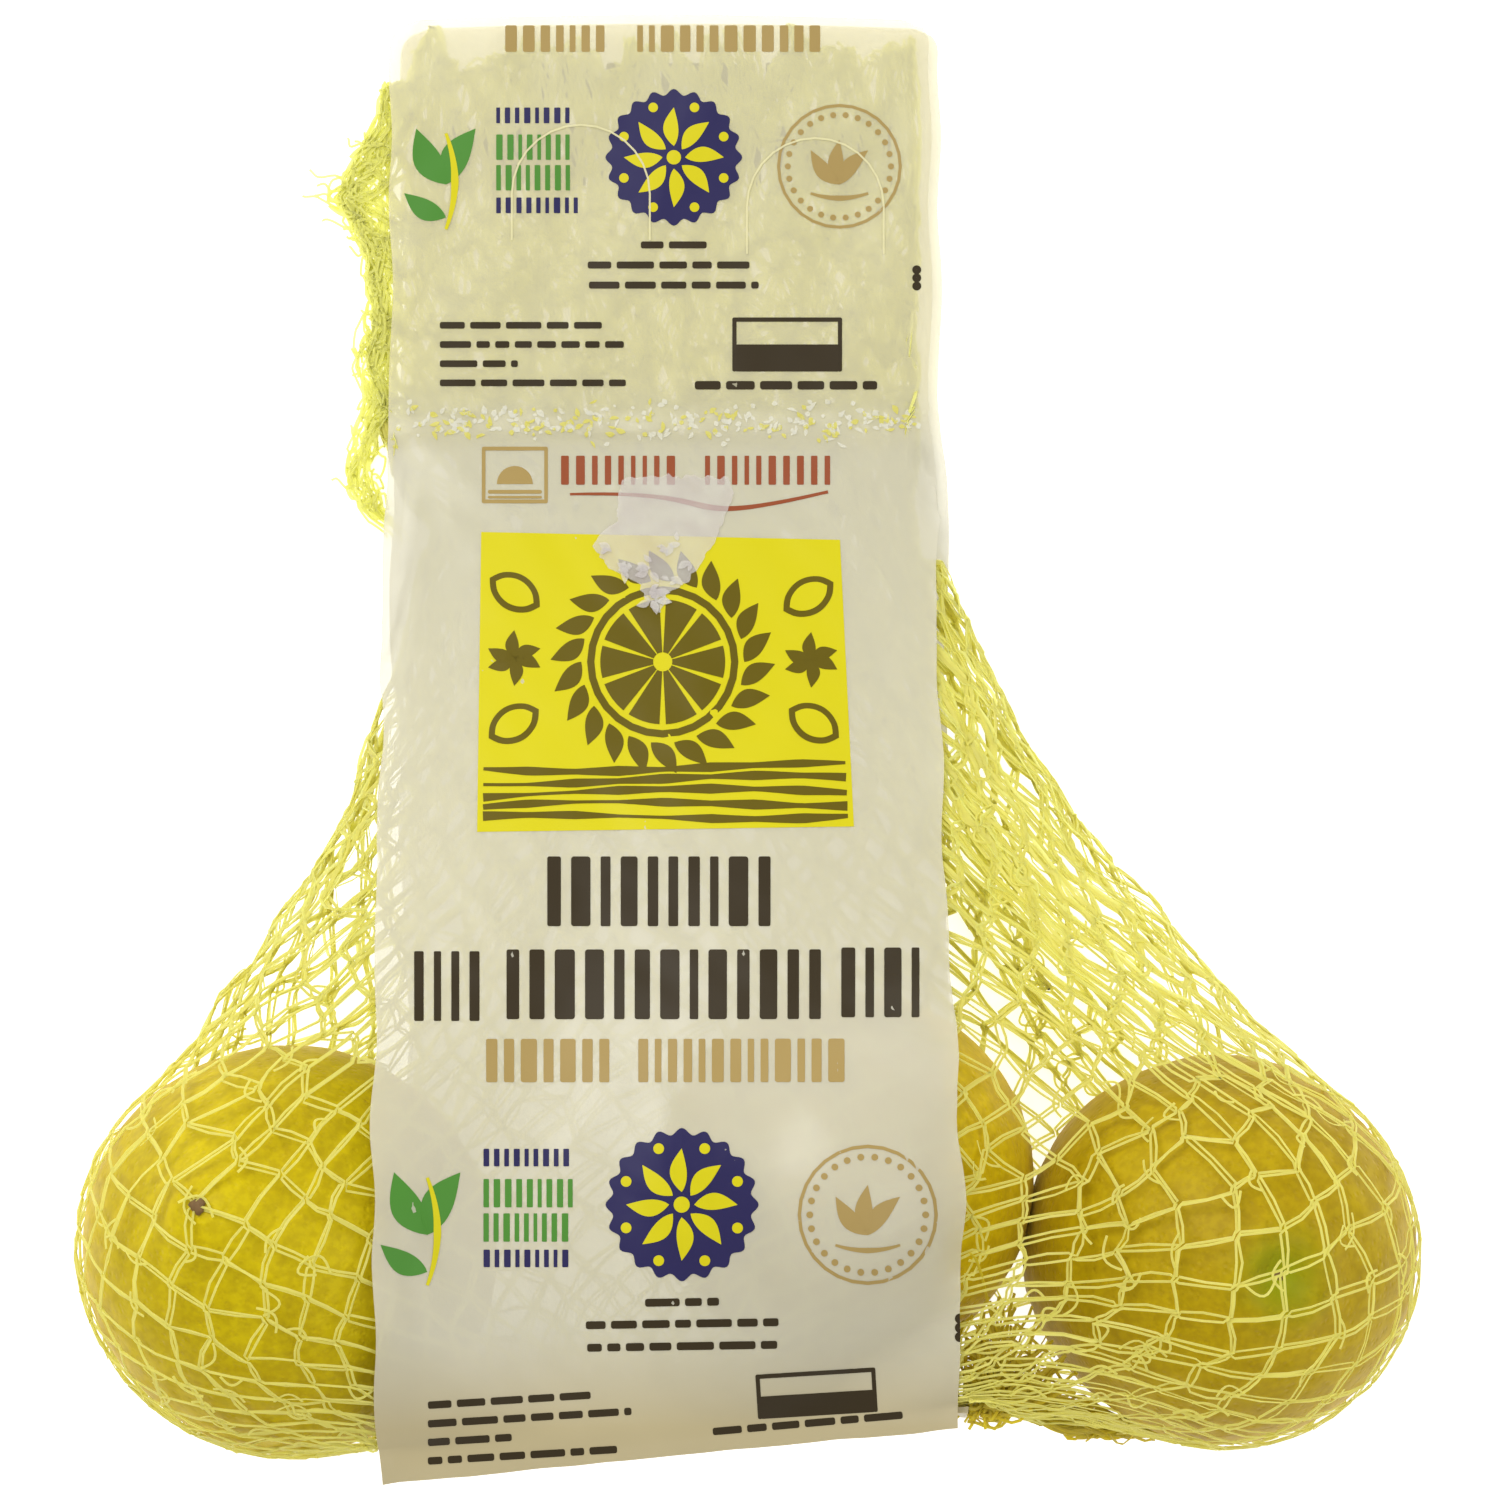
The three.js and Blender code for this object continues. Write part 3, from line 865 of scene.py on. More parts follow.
def corner_spray(share):
    """Threads that spread from the weld's right end up over the gap beside the right lemon."""
    heading = np.radians(each(SPRAY, 8, 96))
    reach = each(SPRAY, 5, 19) * share
    wave = each(SPRAY, 0.3, 1.4) * np.sin(share * each(SPRAY, 4, 11) + heading * 7)
    across, up = np.cos(heading), np.sin(heading)
    x = SPRAY_FROM["x"] + random.normal(0, 1.6, (SPRAY, 1)) + reach * across - wave * up
    y = SPRAY_FROM["y"] + random.normal(0, 1.2, (SPRAY, 1)) + reach * up + wave * across
    z = SPRAY_FROM["z"] - 0.35 * reach + random.normal(0, 0.8, (SPRAY, 1))
    return keep_out(stacked(x, y, z), lemon_balls(SPRAY_SKIN))


def frayed_edge(material):
    """Cut loops of net that stand out past the left side of the header."""
    share = np.linspace(0, 1, FRAYED_POINTS)[None, :]
    top = each(FRAYED, 38.0, 104.0)
    span = each(FRAYED, 2.0, 8.0)
    reach = each(FRAYED, 0.2, 1.7) * np.where(top > 86, 2.2, 1.0)
    inset = each(FRAYED, 0.8, 5.5)
    side = random.choice([-1.0, 1.0, 1.0], (FRAYED, 1))
    cut = each(FRAYED, 0, 1) < np.where(top > 84, 0.25, 0.06)
    bow = np.where(cut, 2.4 * share[:, ::-1], np.sin(np.pi * share) ** 0.8)
    side = np.where(cut, 1.0, side)
    y = top - np.where(cut, 0.4, 1.0) * span * share + 0.5 * np.sin(share * 9 + top)
    x = HEADER_NET["left"] + inset - loose_reach(y) - side * reach * bow
    z = 2.2 + 0.8 * np.sin(share * 5 + top * 3)
    paths = stacked(x, y, z)
    thread_piece("frayed_edge", paths, [0.0, 0.0, 1.0], FRAYED_WIDTH, THREAD_THICKNESS, 0.8, material)


# Films

FILM_COLUMNS = 64
FILM_ROWS = 190
FRONT_LIFT = 0.9
BACK_LIFT = CLEARANCE + 0.3
SHEET = 0.14
INK = 0.05
INK_STEP = 0.06
FILM_FLOOR = 0.3
CORNER = 4.5
FILM_COLOUR = (218, 213, 190)
FILM_ALPHA = 0.52

# How the film changes towards the header and the foot: from one y to another, to a colour and an alpha;
# the foot's darker colour is painted shade, where the film turns away from the light
FILM_ENDS = [(47.0, 61.0, (224, 217, 181), 0.41), (-98.0, -114.0, (185, 171, 130), 0.92)]


def film_base(fine, normals, film, side):
    """The film's places on the net's surface and its outward directions, from its upper end down."""
    half = fine.shape[1] // 2
    order = np.arange(half) if side > 0 else np.arange(2 * half - 1, half - 1, -1)
    share = np.linspace(0, 1, FILM_COLUMNS + 1)
    rows, ways = [], []
    for index in range(fine.shape[0]):
        ring = index / FINE
        shift = LOWER_SHIFT * max(ring - HEADER_RINGS, 0) / BODY_RINGS
        x = mix(film["left"], film["right"], share) + shift
        known = np.maximum.accumulate(fine[index, order, 0] + 1e-6 * np.arange(half))
        rows.append(np.column_stack([x, interpolated(x, known, fine[index, order, 1:])]))
        ways.append(unit(interpolated(x, known, normals[index, order])))
    rows, ways = np.stack(rows), np.stack(ways)
    ways[: HEADER_RINGS * FINE] = [0.0, 0.0, side]
    return rows, ways, share


def evenly_spaced(rows, ways):
    """The same sheet with FILM_ROWS rows at even distances."""
    distances = distances_along(rows[:, rows.shape[1] // 2])
    wanted = np.linspace(0, distances[-1], FILM_ROWS)
    row = np.interp(wanted, distances, np.arange(len(rows)))
    row, column = np.meshgrid(row, np.arange(rows.shape[1]), indexing="ij")
    return sampled(rows, row, column), unit(sampled(ways, row, column))


def film_surface(fine, normals, film, side, lift):
    """The film's middle surface, with its free ends, soft waves and puckered weld."""
    rows, ways, share = film_base(fine, normals, film, side)
    flap_way = unit(np.array([0.0, -FLAP_DROP, 1.0])) * side
    ways[-2:] = unit(ways[-2:] + flap_way)
    upper, lower = rows[:1].copy(), rows[-1:].copy()
    upper[0, :, 1] = film["top"] + 0.9 * np.sin(math.pi * share) - 0.8
    flap = mix(film["flap_left"], film["flap_right"], share)
    lower[0] -= np.stack([0 * flap, flap, flap * FLAP_DROP], axis=1)
    rows = np.concatenate([upper, rows, lower])
    ways = np.concatenate([ways[:1], ways, np.tile(flap_way, (1, FILM_COLUMNS + 1, 1))])
    points, ways = evenly_spaced(rows, ways)
    waves = 0.22 * ripple(points * [1.0, 0.35, 0.6], 13.0, 31) + 0.12 * ripple(points, 7.0, 32)
    waves += 0.04 * ripple(points, 4.0, 35, 24)
    points[..., 0] += 0.5 * ripple(points[..., 1:2], 30.0, 41) * (2 * share - 1) ** 6
    from_end = np.linalg.norm(points - points[:1], axis=-1)
    corner = 1 - np.sqrt(1 - np.clip(1 - from_end / CORNER, 0, 1) ** 2)
    points[..., 0] -= corner * CORNER * (2 * share - 1) ** 7
    edge = np.minimum(share, 1 - share)
    curl = bell(edge, 0.035) * 0.55 * ripple(points[..., 1:2], 26.0, 33 + side)
    pucker = bell(points[..., 1] - HEADER_WELD["y"], 2.6, 1.5) * (0.28 * ripple(points, 2.6, 34, 20) - 0.35)
    calm = 1.0 if side > 0 else 0.3
    height = lift + calm * (waves + curl + pucker)
    points = points + ways * height[..., None]
    points[..., 2] = np.maximum(points[..., 2], FILM_FLOOR)
    return points, ways


def make_film(name, surface, ways, side, material, node):
    order = slice(None) if side > 0 else slice(None, None, -1)
    surface, ways = surface[:, order], ways[:, order]
    body = slab(surface + ways * SHEET / 2, surface - ways * SHEET / 2)
    return mesh_piece(name, *body, material, "film", node)


# Print: flat shapes in the picture's own millimetres, laid on a film

class PrintBed:
    """Lays flat shapes on a film where the camera sees them."""

    def __init__(self, surface, ways):
        self.surface = surface
        self.ways = ways
        scale = (CAMERA_HEIGHT - PRINT_PLANE) / (CAMERA_HEIGHT - surface[..., 2])
        self.seen = np.stack([surface[..., 0] * scale, (surface[..., 1] - CAMERA_Y) * scale], axis=-1)
        self.down = np.gradient(self.seen, axis=0)
        self.right = np.gradient(self.seen, axis=1)

    def place(self, flat):
        rows, columns = self.seen.shape[:2]
        across = self.seen[:, columns // 2, 1]
        row = np.interp(-flat[..., 1], -across, np.arange(rows))
        left, right = self.seen[:, 0, 0], self.seen[:, -1, 0]
        left, right = (np.interp(row, np.arange(rows), side) for side in (left, right))
        column = np.clip((flat[..., 0] - left) / (right - left), 0, 1) * (columns - 1)
        for _ in range(4):
            miss = flat - sampled(self.seen, row, column)
            down, right = sampled(self.down, row, column), sampled(self.right, row, column)
            size = down[..., 0] * right[..., 1] - down[..., 1] * right[..., 0]
            row_step = (miss[..., 0] * right[..., 1] - miss[..., 1] * right[..., 0]) / size
            column_step = (down[..., 0] * miss[..., 1] - down[..., 1] * miss[..., 0]) / size
            row = np.clip(row + np.clip(row_step, -2, 2), 0, rows - 1)
            column = np.clip(column + np.clip(column_step, -2, 2), 0, columns - 1)
        return sampled(self.surface, row, column), unit(sampled(self.ways, row, column))

    def lay(self, flat, level=0.0, depth=INK):
        """A thin closed patch whose face stands level millimetres above the ink's usual height."""
        places, ways = self.place(flat)
        face = SHEET / 2 + INK + level
        return slab(places + ways * face, places + ways * (face - depth))


BAR_STEP = 1.6


def bar(x, y, width, height, slant=0.0, corner=None):
    """A bar round its middle x, y, with round corners."""
    corner = height / 2 if corner is None else corner
    steps = max(2, math.ceil(width / BAR_STEP))
    ends = (1 - np.cos(np.linspace(0, math.pi / 2, 5))) * corner
    along = np.unique(np.round(np.concatenate([
        ends, np.linspace(corner, max(width - corner, corner + 1e-3), steps), width - ends
    ]), 5))
    from_end = np.clip(corner - np.minimum(along, width - along), 0, corner)
    tall = height / 2 - corner + np.sqrt(np.maximum(corner**2 - from_end**2, 0)) + 0.01
    lift = np.linspace(1, -1, max(2, math.ceil(height / BAR_STEP) + 1))[:, None]
    return turned(stacked(along - width / 2, lift * tall), slant) + [x, y]


def turned(flat, degrees):
    angle = math.radians(degrees)
    across = flat[..., 0] * math.cos(angle) - flat[..., 1] * math.sin(angle)
    upright = flat[..., 0] * math.sin(angle) + flat[..., 1] * math.cos(angle)
    return np.stack([across, upright], axis=-1)


def on_circle(middle, radius, degrees):
    return middle + turned(np.array([radius, 0.0]), degrees)


def ring(x, y, outer, inner=0.02, start=0.0, end=360.0, lobes=0, depth=0.0):
    """A disc, ring or part of one, whose outer edge may be lobed."""
    sides = max(8, int(abs(end - start) / 360 * max(28, 10 * lobes)))
    angle = np.radians(np.linspace(start, end, sides + 1))[None, :]
    layers = max(2, math.ceil((outer - inner) / 1.5) + 1)
    share = np.linspace(1, 0, layers)[:, None]
    edge = outer + depth * np.cos(lobes * angle)
    radius = mix(inner, edge, share)
    return np.stack([x + radius * np.sin(angle), y + radius * np.cos(angle)], axis=-1)


def stroke(points, widths, steps=24):
    """A line through the given points, on a smooth curve, with a width at each of them."""
    points = np.asarray(points, dtype=float)
    knots = np.linspace(0, 1, len(points))
    share = np.linspace(0, 1, steps)
    degree = min(3, len(points) - 1)
    line = np.stack([np.polyval(np.polyfit(knots, column, degree), share) for column in points.T], axis=1)
    width = np.interp(share, np.linspace(0, 1, len(widths)), widths)[:, None]
    along = unit(np.gradient(line, axis=0))
    side = np.stack([-along[:, 1], along[:, 0]], axis=1)
    return np.stack([line + side * width / 2, line - side * width / 2])


def leaf(x, y, length, width, degrees, steps=15):
    """A pointed leaf that starts at x, y."""
    share = np.linspace(0, 1, steps)
    half = width / 2 * np.sin(np.pi * share**0.85) + 0.02
    lift = np.linspace(1, -1, 3)[:, None]
    bow = 0.08 * length * np.sin(np.pi * share)
    return turned(stacked(share * length, lift * half + bow), degrees) + [x, y]


def words(x, y, width, height, draw, slant=0.0):
    """A line of small bars, from x at its left."""
    bars = []
    at = 0.0
    while at < width - 1.0:
        long = min(draw.uniform(2.2, 6.5), width - at)
        bars.append(bar(*on_circle((x, y), at + long / 2, slant), long, height, slant, 0.3 * height))
        at += long + 0.9
    return bars


def upright_bars(left, right, y, height, thin, thick, gap, draw):
    """A row of upright bars of uneven width between left and right."""
    bars = []
    at = left
    while at < right - thin:
        width = min(draw.uniform(thin, thick), right - at)
        bars.append(bar(at + width / 2, y, width, height, 0.0, 0.15 * width))
        at += width + gap
    return bars


# The leaf mark's leaves: where each starts, its length, width and direction; and the rows of the bar block
LEAVES = [(-4.5, 10.5, 4.6, 62), (-4.5, 10.5, 4.6, 118), (-10.0, 8.0, 3.4, 150)]
BAR_BLOCK = [("blue", 7.0, 2.6), ("green", 1.7, 4.2), ("green", -3.4, 4.2), ("blue", -8.0, 2.6)]


def label_marks(x, y, size, draw, slant=0.0):
    """The group of small marks that stands once on the header and once at the foot of the label."""
    def at(dx, dy):
        return np.array([x + size * dx, y + size * dy])

    marks = {name: [] for name in ("green", "blue", "tan", "dark", "yellow")}
    for dy, length, width, degrees in LEAVES:
        marks["green"].append(leaf(*at(-38.0, dy), length * size, width * size, degrees))
    marks["yellow"].append(stroke([at(-38, 4), at(-36.5, -4), at(-38, -12)], [0.5, 1.3, 0.5]))
    left, right = at(-29.6, 0)[0], at(-16.0, 0)[0]
    for name, lift, tall in BAR_BLOCK:
        marks[name].extend(upright_bars(left, right, at(0, lift)[1], tall * size, 0.6, 1.1, 0.8, draw))

    flower = at(0, 0)
    marks["blue"].append(ring(*flower, 10.9 * size, lobes=20, depth=0.5 * size))
    for turn in range(0, 360, 45):
        marks["yellow"].append(leaf(*on_circle(flower, 1.9 * size, turn), 6.4 * size, 2.5 * size, turn))
        marks["yellow"].append(ring(*on_circle(flower, 9.0 * size, turn + 22.5), 0.8 * size))
    marks["yellow"].append(ring(*flower, 1.2 * size))

    seal = at(27.6, -1.5)
    marks["tan"].append(ring(*seal, 10.4 * size, 9.9 * size))
    for dot in range(26):
        marks["tan"].append(ring(*on_circle(seal, 8.6 * size, dot * 360 / 26), 0.5 * size))
    for degrees in (50, 90, 130):
        marks["tan"].append(leaf(*at(27.6, -4.5), 7.4 * size, 2.6 * size, degrees))
    marks["tan"].append(stroke([at(22.8, -6.0), at(27.6, -6.8), at(32.4, -6.0)], [0.4, 0.9, 0.4]))
    for row, wide in enumerate((11.0, 28.7, 28.3)):
        start = at(-wide / 2, -14.6 - 3.35 * row)
        marks["dark"].extend(words(*start, wide * size, 1.15 * size, draw, slant))
    return marks


def box_mark(x, y, width, height, slant=0.0):
    """A rounded frame whose lower part is filled."""
    rim = 0.7
    shapes = [
        bar(0, height / 2 - rim / 2, width, rim, 0, 0.3),
        bar(rim / 2 - width / 2, 0, rim, height, 0, 0.3),
        bar(width / 2 - rim / 2, 0, rim, height, 0, 0.3),
        bar(0, -height / 4, width, height / 2, 0, 0.8),
    ]
    return [turned(shape, slant) + [x, y] for shape in shapes]


PICTURE = [(-44.8, 36.3), (15.0, 35.0), (17.3, -12.8), (-45.5, -13.7)]
WREATH = 22
SEGMENTS = 10
WAVE_WIDTHS = [0.5, 1.5, 0.9, 1.7, 0.7, 1.6, 0.9, 1.4, 0.5]


def picture_point(across, down):
    """A place in the yellow picture field, from 0, 0 at its upper left to 1, 1 at its lower right."""
    upper_left, upper_right, lower_right, lower_left = np.array(PICTURE)
    return mix(mix(upper_left, upper_right, across), mix(lower_left, lower_right, across), down)


def picture_field():
    across, down = np.meshgrid(np.linspace(0, 1, 40), np.linspace(0, 1, 32))
    return picture_point(across[..., None], down[..., None])


def fruit(x, y, length, width, degrees):
    """A lemon's outline, filled, with a point at each end."""
    share = np.linspace(0, 1, 21)
    half = width / 2 * np.sin(np.pi * share) ** 0.62 + 0.02
    half *= 1 - 0.35 * bell(share, 0.07) - 0.35 * bell(share, 0.07, 1.0)
    lift = np.linspace(1, -1, 5)[:, None]
    return turned(stacked((share - 0.5) * length, lift * half), degrees) + [x, y]


def picture_motifs():
    """A wreath of leaves round a cut slice, fruit in the corners, and waves below."""
    brown, pale = [], []
    slice_at = picture_point(0.5, 0.43)
    brown.append(ring(*slice_at, 12.6, 11.4))
    for start in range(3, 360, 360 // SEGMENTS):
        brown.append(ring(*slice_at, 10.4, 1.6, start, start + 30))
    for step in range(WREATH):
        angle = step * 360 / WREATH
        brown.append(leaf(*on_circle(slice_at, 13.6, angle), 6.6, 3.0, angle + 48))
    for side in (-1, 1):
        column = 0.5 + 0.405 * side
        for down, degrees in ((0.2, 30), (0.64, -30)):
            place = picture_point(column, down)
            for shapes, length, width in ((brown, 9.6, 6.2), (pale, 7.2, 4.2), (brown, 5.0, 2.4)):
                shapes.append(fruit(*place, length, width, side * degrees))
        for degrees in (20, 90, 160, 200, 270, 340):
            brown.append(leaf(*picture_point(column, 0.42), 4.6, 2.2, degrees))
    for row in range(5):
        down = 0.79 + 0.042 * row
        shares = np.linspace(0.015, 0.985, 9)
        line = [picture_point(share, down + 0.012 * math.sin(5 * share + row)) for share in shares]
        brown.append(stroke(line, np.roll(WAVE_WIDTHS, row), 44))
    return brown, pale


# Rows of upright bars: ink, left, right and middle height, then height, least and greatest width, and gap
TOP_BARS = [
    ("tan", -40.8, -22.6, 118.6, 4.4, 0.9, 2.2, 1.0),
    ("tan", -18.8, 13.6, 118.6, 4.4, 0.9, 2.2, 1.0),
]
BODY_BARS = [
    ("red", -31.5, -11.0, 46.6, 4.8, 0.7, 1.5, 1.2),
    ("red", -7.5, 13.5, 46.6, 4.8, 0.7, 1.5, 1.2),
    ("dark", -33.8, 5.0, -23.6, 11.6, 1.2, 3.4, 1.7),
    ("dark", -56.0, -44.4, -39.4, 11.6, 1.2, 3.4, 1.7),
    ("dark", -40.6, 11.8, -39.1, 11.6, 1.2, 3.4, 1.7),
    ("dark", 15.2, 28.2, -38.8, 11.6, 1.2, 3.4, 1.7),
    ("tan", -44.0, -22.6, -51.8, 7.2, 1.0, 2.8, 1.1),
    ("tan", -18.6, 16.6, -51.8, 7.2, 1.0, 2.8, 1.1),
]


def framed_mark(x, y):
    """A square frame round a half disc on two lines."""
    frame_bars = [bar(x, y + side * 4.4, 11.0, 0.6) for side in (1, -1)]
    frame_bars += [bar(x + side * 5.2, y, 0.6, 9.0, 0, 0.2) for side in (-1, 1)]
    lines = [bar(x, y - 2.8, 9.0, 0.6), bar(x, y - 3.7, 9.0, 0.4)]
    return frame_bars + [ring(x, y - 1.5, 3.0, 0.02, -90, 90)] + lines


def print_pieces(prefix, layers, inks, node):
    for name, parts in layers.items():
        mesh_piece(f"{prefix}_{name}", *joined(parts), inks[name], "film", node)


def front_print(bed, inks):
    draw = np.random.default_rng(5)
    layers = {name: [] for name in inks}

    def add(name, shapes, level=0.0):
        layers[name].extend(bed.lay(shape, level) for shape in shapes)

    def add_bars(rows):
        for name, *measures in rows:
            add(name, upright_bars(*measures, draw))

    add_bars(TOP_BARS)
    for x, y, size, slant in ((-12.7, 98.8, 1.0, 0.0), (-11.3, -75.8, 1.12, 1.0)):
        for name, shapes in label_marks(x, y, size, draw, slant).items():
            add(name, shapes, INK_STEP if name == "yellow" else 0.0)
    for row, (upper, lower) in enumerate(((27.0, 29.0), (31.0, 34.0), (13.0, 14.0), (31.0, 33.0))):
        add("dark", words(-51.7, 70.8 - 3.2 * row, upper, 1.1, draw))
        add("dark", words(-53.7, -109.2 - 3.1 * row, lower, 1.2, draw, 3.5))
    add("dark", box_mark(6.2, 67.6, 18.3, 9.0))
    add("dark", words(-9.2, 60.8, 30.4, 1.4, draw))
    add("dark", box_mark(11.1, -107.2, 20.0, 7.4, 3.5))
    add("dark", words(-6.2, -113.6, 33.0, 1.2, draw, 5.0))
    for x, y, size in ((27.8, 78.7, 0.75), (35.0, -96.3, 0.85)):
        add("dark", [ring(x, y + lift * size, size) for lift in (-1.8, 0.0, 1.8)])
    add("tan", framed_mark(-39.2, 45.8))
    add_bars(BODY_BARS)
    add("red", [stroke([(-30, 42.6), (-12, 41.6), (-4, 40.2), (13, 43.0)], [0.4, 1.0, 0.5], 30)])
    add("yellow", [picture_field()])
    brown, pale = picture_motifs()
    add("brown", brown, INK_STEP)
    add("yellow", pale, 2 * INK_STEP)
    print_pieces("print", layers, inks, "front_label")


def back_print(bed, inks):
    """Plain rows of bars and blocks on the back film."""
    draw = np.random.default_rng(6)
    dark = upright_bars(-36.0, 10.0, 111.5, 6.0, 1.4, 3.4, 1.8, draw)
    dark += upright_bars(-50.0, 24.0, 99.0, 10.0, 1.4, 3.6, 2.0, draw)
    for row in range(12):
        dark += words(-46.0, 40.0 - 4.2 * row, 50.0 + 12.0 * (row % 3 == 0), 1.7, draw)
    layers = {"dark": dark, "tan": [bar(-14.0, 50.0, 62.0, 5.0, 0, 1.2)]}
    layers = {name: [bed.lay(shape, 0.0, 0.25) for shape in shapes] for name, shapes in layers.items()}
    print_pieces("back_print", layers, inks, "back_label")


# Marks of making: die-cut handles, weld flecks and the torn remnant

def handle_cut(x, top, bottom, width):
    """The two legs and the bow of one horseshoe cut."""
    radius = width / 2
    bow = ring(x, top - radius, radius + 0.16, radius - 0.16, -90, 90)
    tall = top - radius - bottom
    legs = [bar(x + side * radius, bottom + tall / 2, 0.32, tall, 0, 0.1) for side in (-1, 1)]
    return [bow, *legs]


def make_handle_cuts(bed, material):
    shapes = handle_cut(-28.2, 104.2, 85.0, 23.0) + handle_cut(10.9, 102.0, 82.7, 22.8)
    parts = [bed.lay(shape, 2 * INK_STEP) for shape in shapes]
    mesh_piece("handle_cuts", *joined(parts), material, "film", "front_label")


FLECKS_Y = 54.6
FLECK_STEPS = 5


def make_weld_flecks(name, bed, material, count, seed):
    """Pressed spots along the header's weld, where film and net are joined."""
    draw = np.random.default_rng(seed)
    parts = []
    for _ in range(count):
        x = draw.uniform(-59.0, 28.0)
        y = FLECKS_Y + draw.normal(0, 1.5)
        length = draw.uniform(0.5, 1.9)
        fleck = leaf(x, y, length, draw.uniform(0.4, 1.0), draw.uniform(0, 360), FLECK_STEPS)
        parts.append(bed.lay(fleck, 0.1))
    mesh_piece(name, *joined(parts), material, "film", "front_label")


# The remnant's outline, from its top down: height, left and right
REMNANT = [(45.4, -21.4, -3.6), (42.6, -21.9, -2.8), (38.0, -22.2, -4.4), (36.4, -24.6, -5.0),
           (33.8, -26.2, -6.4), (30.2, -23.4, -8.8), (27.8, -18.8, -10.4), (25.8, -17.8, -14.2),
           (22.8, -15.4, -14.8)]
REMNANT_ROWS = 50
REMNANT_COLUMNS = 26
SCRAPS = 40
SCRAP_STEPS = 6


def make_remnant(bed):
    """The torn scrap of a second label, with a ragged edge and small loose scraps at its foot."""
    draw = np.random.default_rng(12)
    rows = np.array(REMNANT)
    top, bottom = rows[0, 0], rows[-1, 0]
    y = np.linspace(top, bottom, REMNANT_ROWS)
    levels = (top - y) / (top - bottom)
    left, right = interpolated(-y, -rows[:, 0], rows[:, 1:]).T
    left = left + draw.normal(0, 0.25, len(y)) * (0.2 + levels)
    right = right + draw.normal(0, 0.25, len(y)) * (0.2 + levels)
    ragged = draw.normal(0, 0.3, REMNANT_COLUMNS)
    x = mix(left[:, None], right[:, None], np.linspace(0, 1, REMNANT_COLUMNS))
    flat = stacked(x, y[:, None] + ragged * np.exp(-levels[:, None] * 8))
    parts = [bed.lay(flat, 0.2, 0.1)]
    for _ in range(SCRAPS):
        place = draw.uniform(0, 1)
        height, left, right = rows[4 + int(draw.uniform(0, 4))]
        size = draw.uniform(0.8, 2.6)
        y = height + draw.uniform(-1.4, 1)
        x = mix(left + 1.0, right - 1.0, place)
        spot = leaf(x, y, size, size * 0.5, draw.uniform(0, 360), SCRAP_STEPS)
        parts.append(bed.lay(spot, 0.4))
    mesh_piece("torn_remnant", *joined(parts), remnant_material(), "remnant", "sticker_remnant")


# Stage, light and camera

# Each lamp's name, place and size in metres, power in watts and turn in degrees
LAMPS = [
    ("key", (-0.45, 0.55, 0.95), 0.9, 9.0, (-30, -24, 0)),
    ("fill", (0.7, -0.2, 0.9), 0.9, 3.0, (10, 38, 0)),
]
SKY_STRENGTH = 0.62
FLOOR_GLOW = 0.7
FLOOR_Z = -0.0002


def make_stage():
    bpy.ops.mesh.primitive_plane_add(size=4.0, location=(0, 0, FLOOR_Z))
    floor = bpy.context.object
    floor.name = "floor"
    material, tree, shader = new_material("floor")
    feed(tree, shader, {"Base Color": (0.9, 0.9, 0.9, 1), "Roughness": 0.9})
    feed(tree, shader, {"Emission Color": (1, 1, 1, 1), "Emission Strength": FLOOR_GLOW})
    material.cycles.emission_sampling = "NONE"
    floor.data.materials.append(material)


def add_area(name, place, size, power, turn):
    light = bpy.data.lights.new(name, "AREA")
    light.shape = "DISK"
    light.size = size
    light.energy = power
    lamp = bpy.data.objects.new(name, light)
    lamp.location = place
    lamp.rotation_euler = Euler([math.radians(angle) for angle in turn])
    bpy.context.scene.collection.objects.link(lamp)


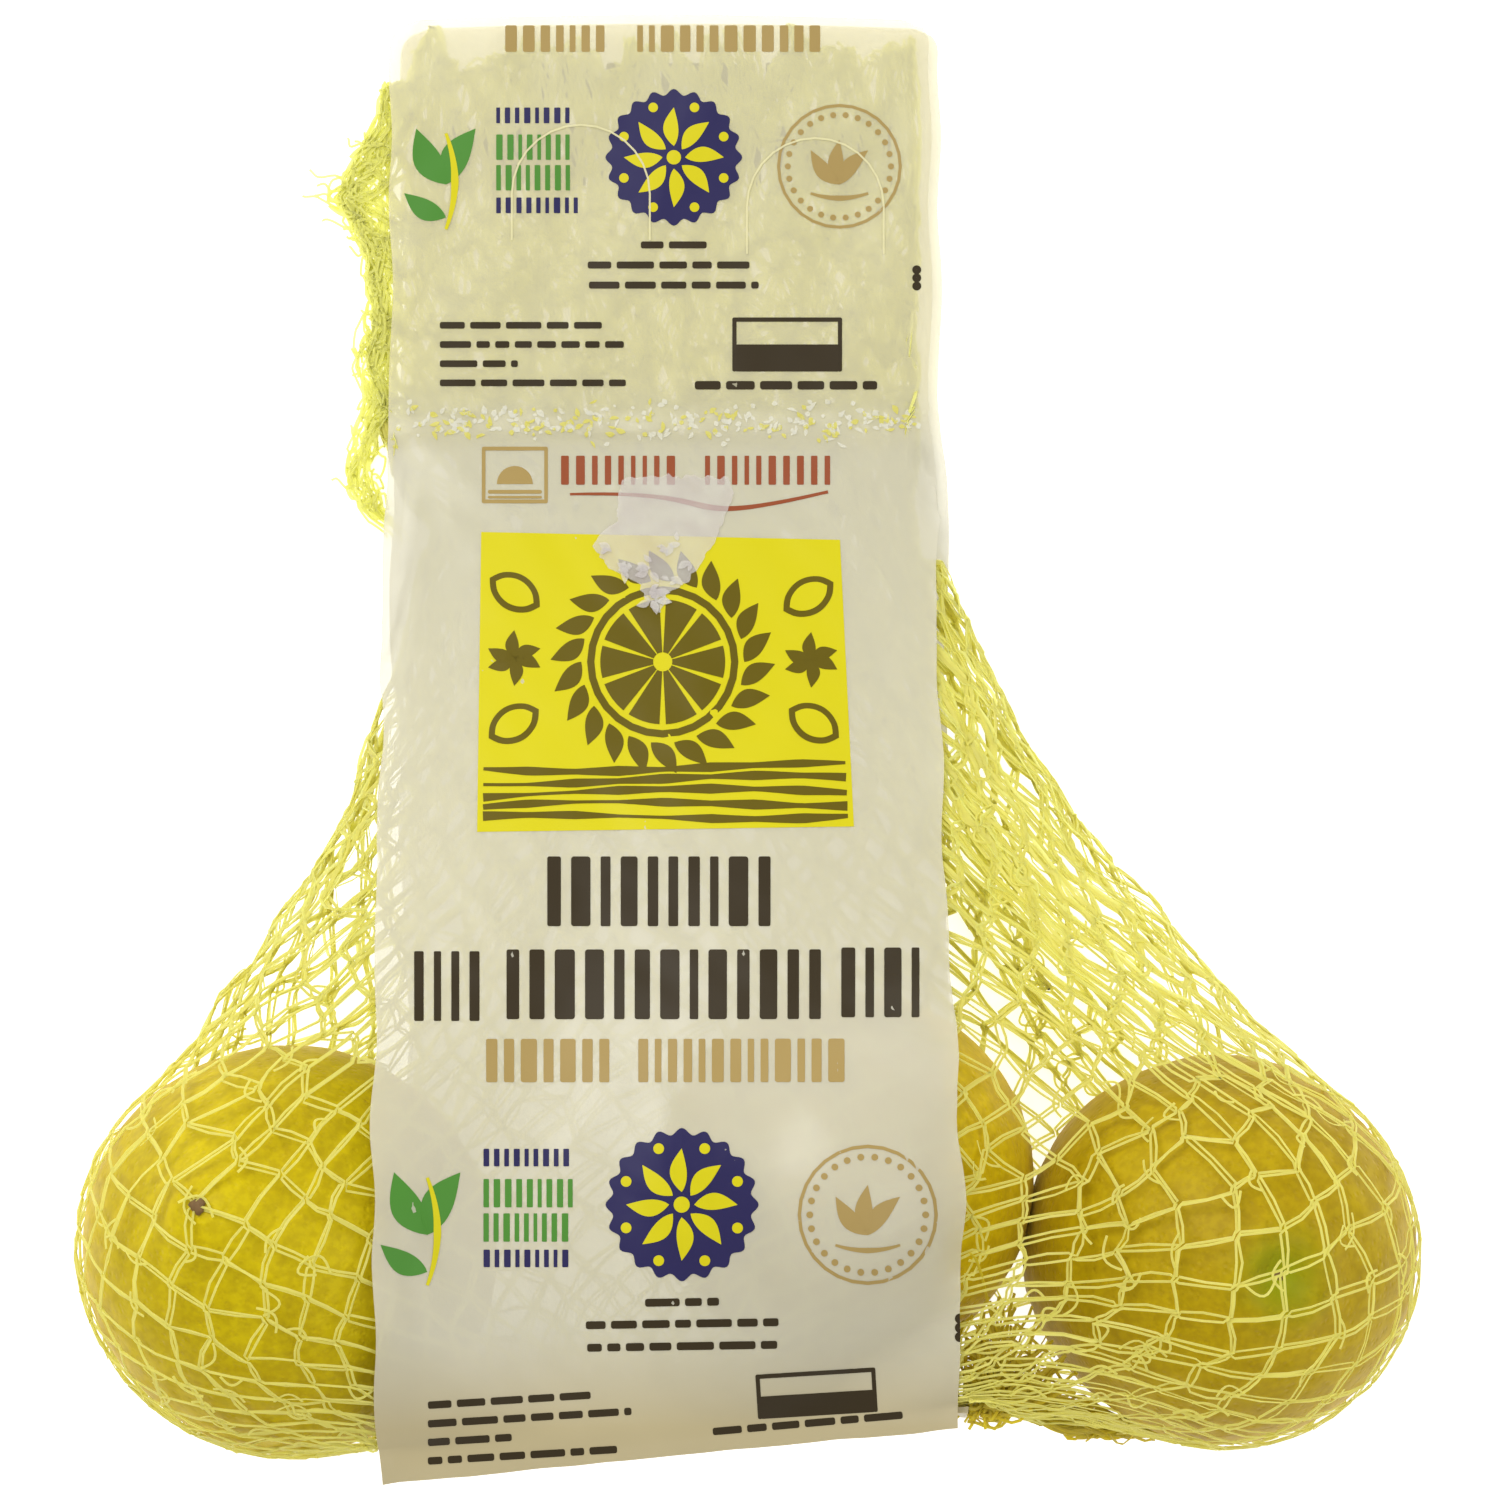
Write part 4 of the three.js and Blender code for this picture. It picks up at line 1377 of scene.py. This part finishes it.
def make_light():
    world = bpy.data.worlds.new("studio")
    world.use_nodes = True
    sky = world.node_tree.nodes["Background"]
    feed(world.node_tree, sky, {"Color": (1, 1, 1, 1), "Strength": SKY_STRENGTH})
    bpy.context.scene.world = world
    for lamp in LAMPS:
        add_area(*lamp)
    bpy.context.scene.view_settings.view_transform = "Standard"
    bpy.context.scene.view_settings.look = "None"


def make_camera():
    camera = bpy.data.cameras.new("camera")
    camera.lens = LENS
    camera.sensor_width = 36.0
    camera.clip_start = 0.01
    holder = bpy.data.objects.new("camera", camera)
    holder.location = (0, CAMERA_Y * MM, CAMERA_HEIGHT * MM)
    bpy.context.scene.collection.objects.link(holder)
    bpy.context.scene.camera = holder


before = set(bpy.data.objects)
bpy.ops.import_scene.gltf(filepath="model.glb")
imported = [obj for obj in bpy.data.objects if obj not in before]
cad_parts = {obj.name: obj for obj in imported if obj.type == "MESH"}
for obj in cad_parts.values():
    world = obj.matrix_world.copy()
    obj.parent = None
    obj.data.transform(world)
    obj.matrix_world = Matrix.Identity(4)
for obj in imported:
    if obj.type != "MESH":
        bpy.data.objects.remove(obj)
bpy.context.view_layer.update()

make_stage()
make_light()
make_camera()

fine, normals = net_surface()
make_lemons()
make_net(fine, normals)

film = film_material()
front, front_ways = film_surface(fine, normals, FRONT_FILM, 1, FRONT_LIFT)
back, back_ways = film_surface(fine, normals, BACK_FILM, -1, BACK_LIFT)
make_film("film_front", front, front_ways, 1, film, "front_label")
make_film("film_back", back, back_ways, -1, film, "back_label")

inks = {
    "tan": ink_material("ink_tan", (160, 136, 80)),
    "green": ink_material("ink_green", (72, 130, 46)),
    "blue": ink_material("ink_blue", (38, 34, 78)),
    "red": ink_material("ink_red", (142, 72, 42)),
    "dark": ink_material("ink_dark", (50, 40, 20)),
    "brown": ink_material("ink_brown", (94, 81, 0)),
    "yellow": ink_material("ink_yellow", (208, 197, 16), 0.93),
}
bed = PrintBed(front, front_ways)
front_print(bed, inks)
back_print(PrintBed(back, back_ways), inks)
make_handle_cuts(bed, ink_material("cut_edge", (232, 226, 180), 0.6))
make_weld_flecks("weld_flecks", bed, ink_material("weld_fleck", (240, 238, 222), 0.36), 190, 9)
make_weld_flecks("weld_net_ends", bed, ink_material("weld_net_end", (232, 224, 110), 0.42), 130, 10)
make_remnant(bed)
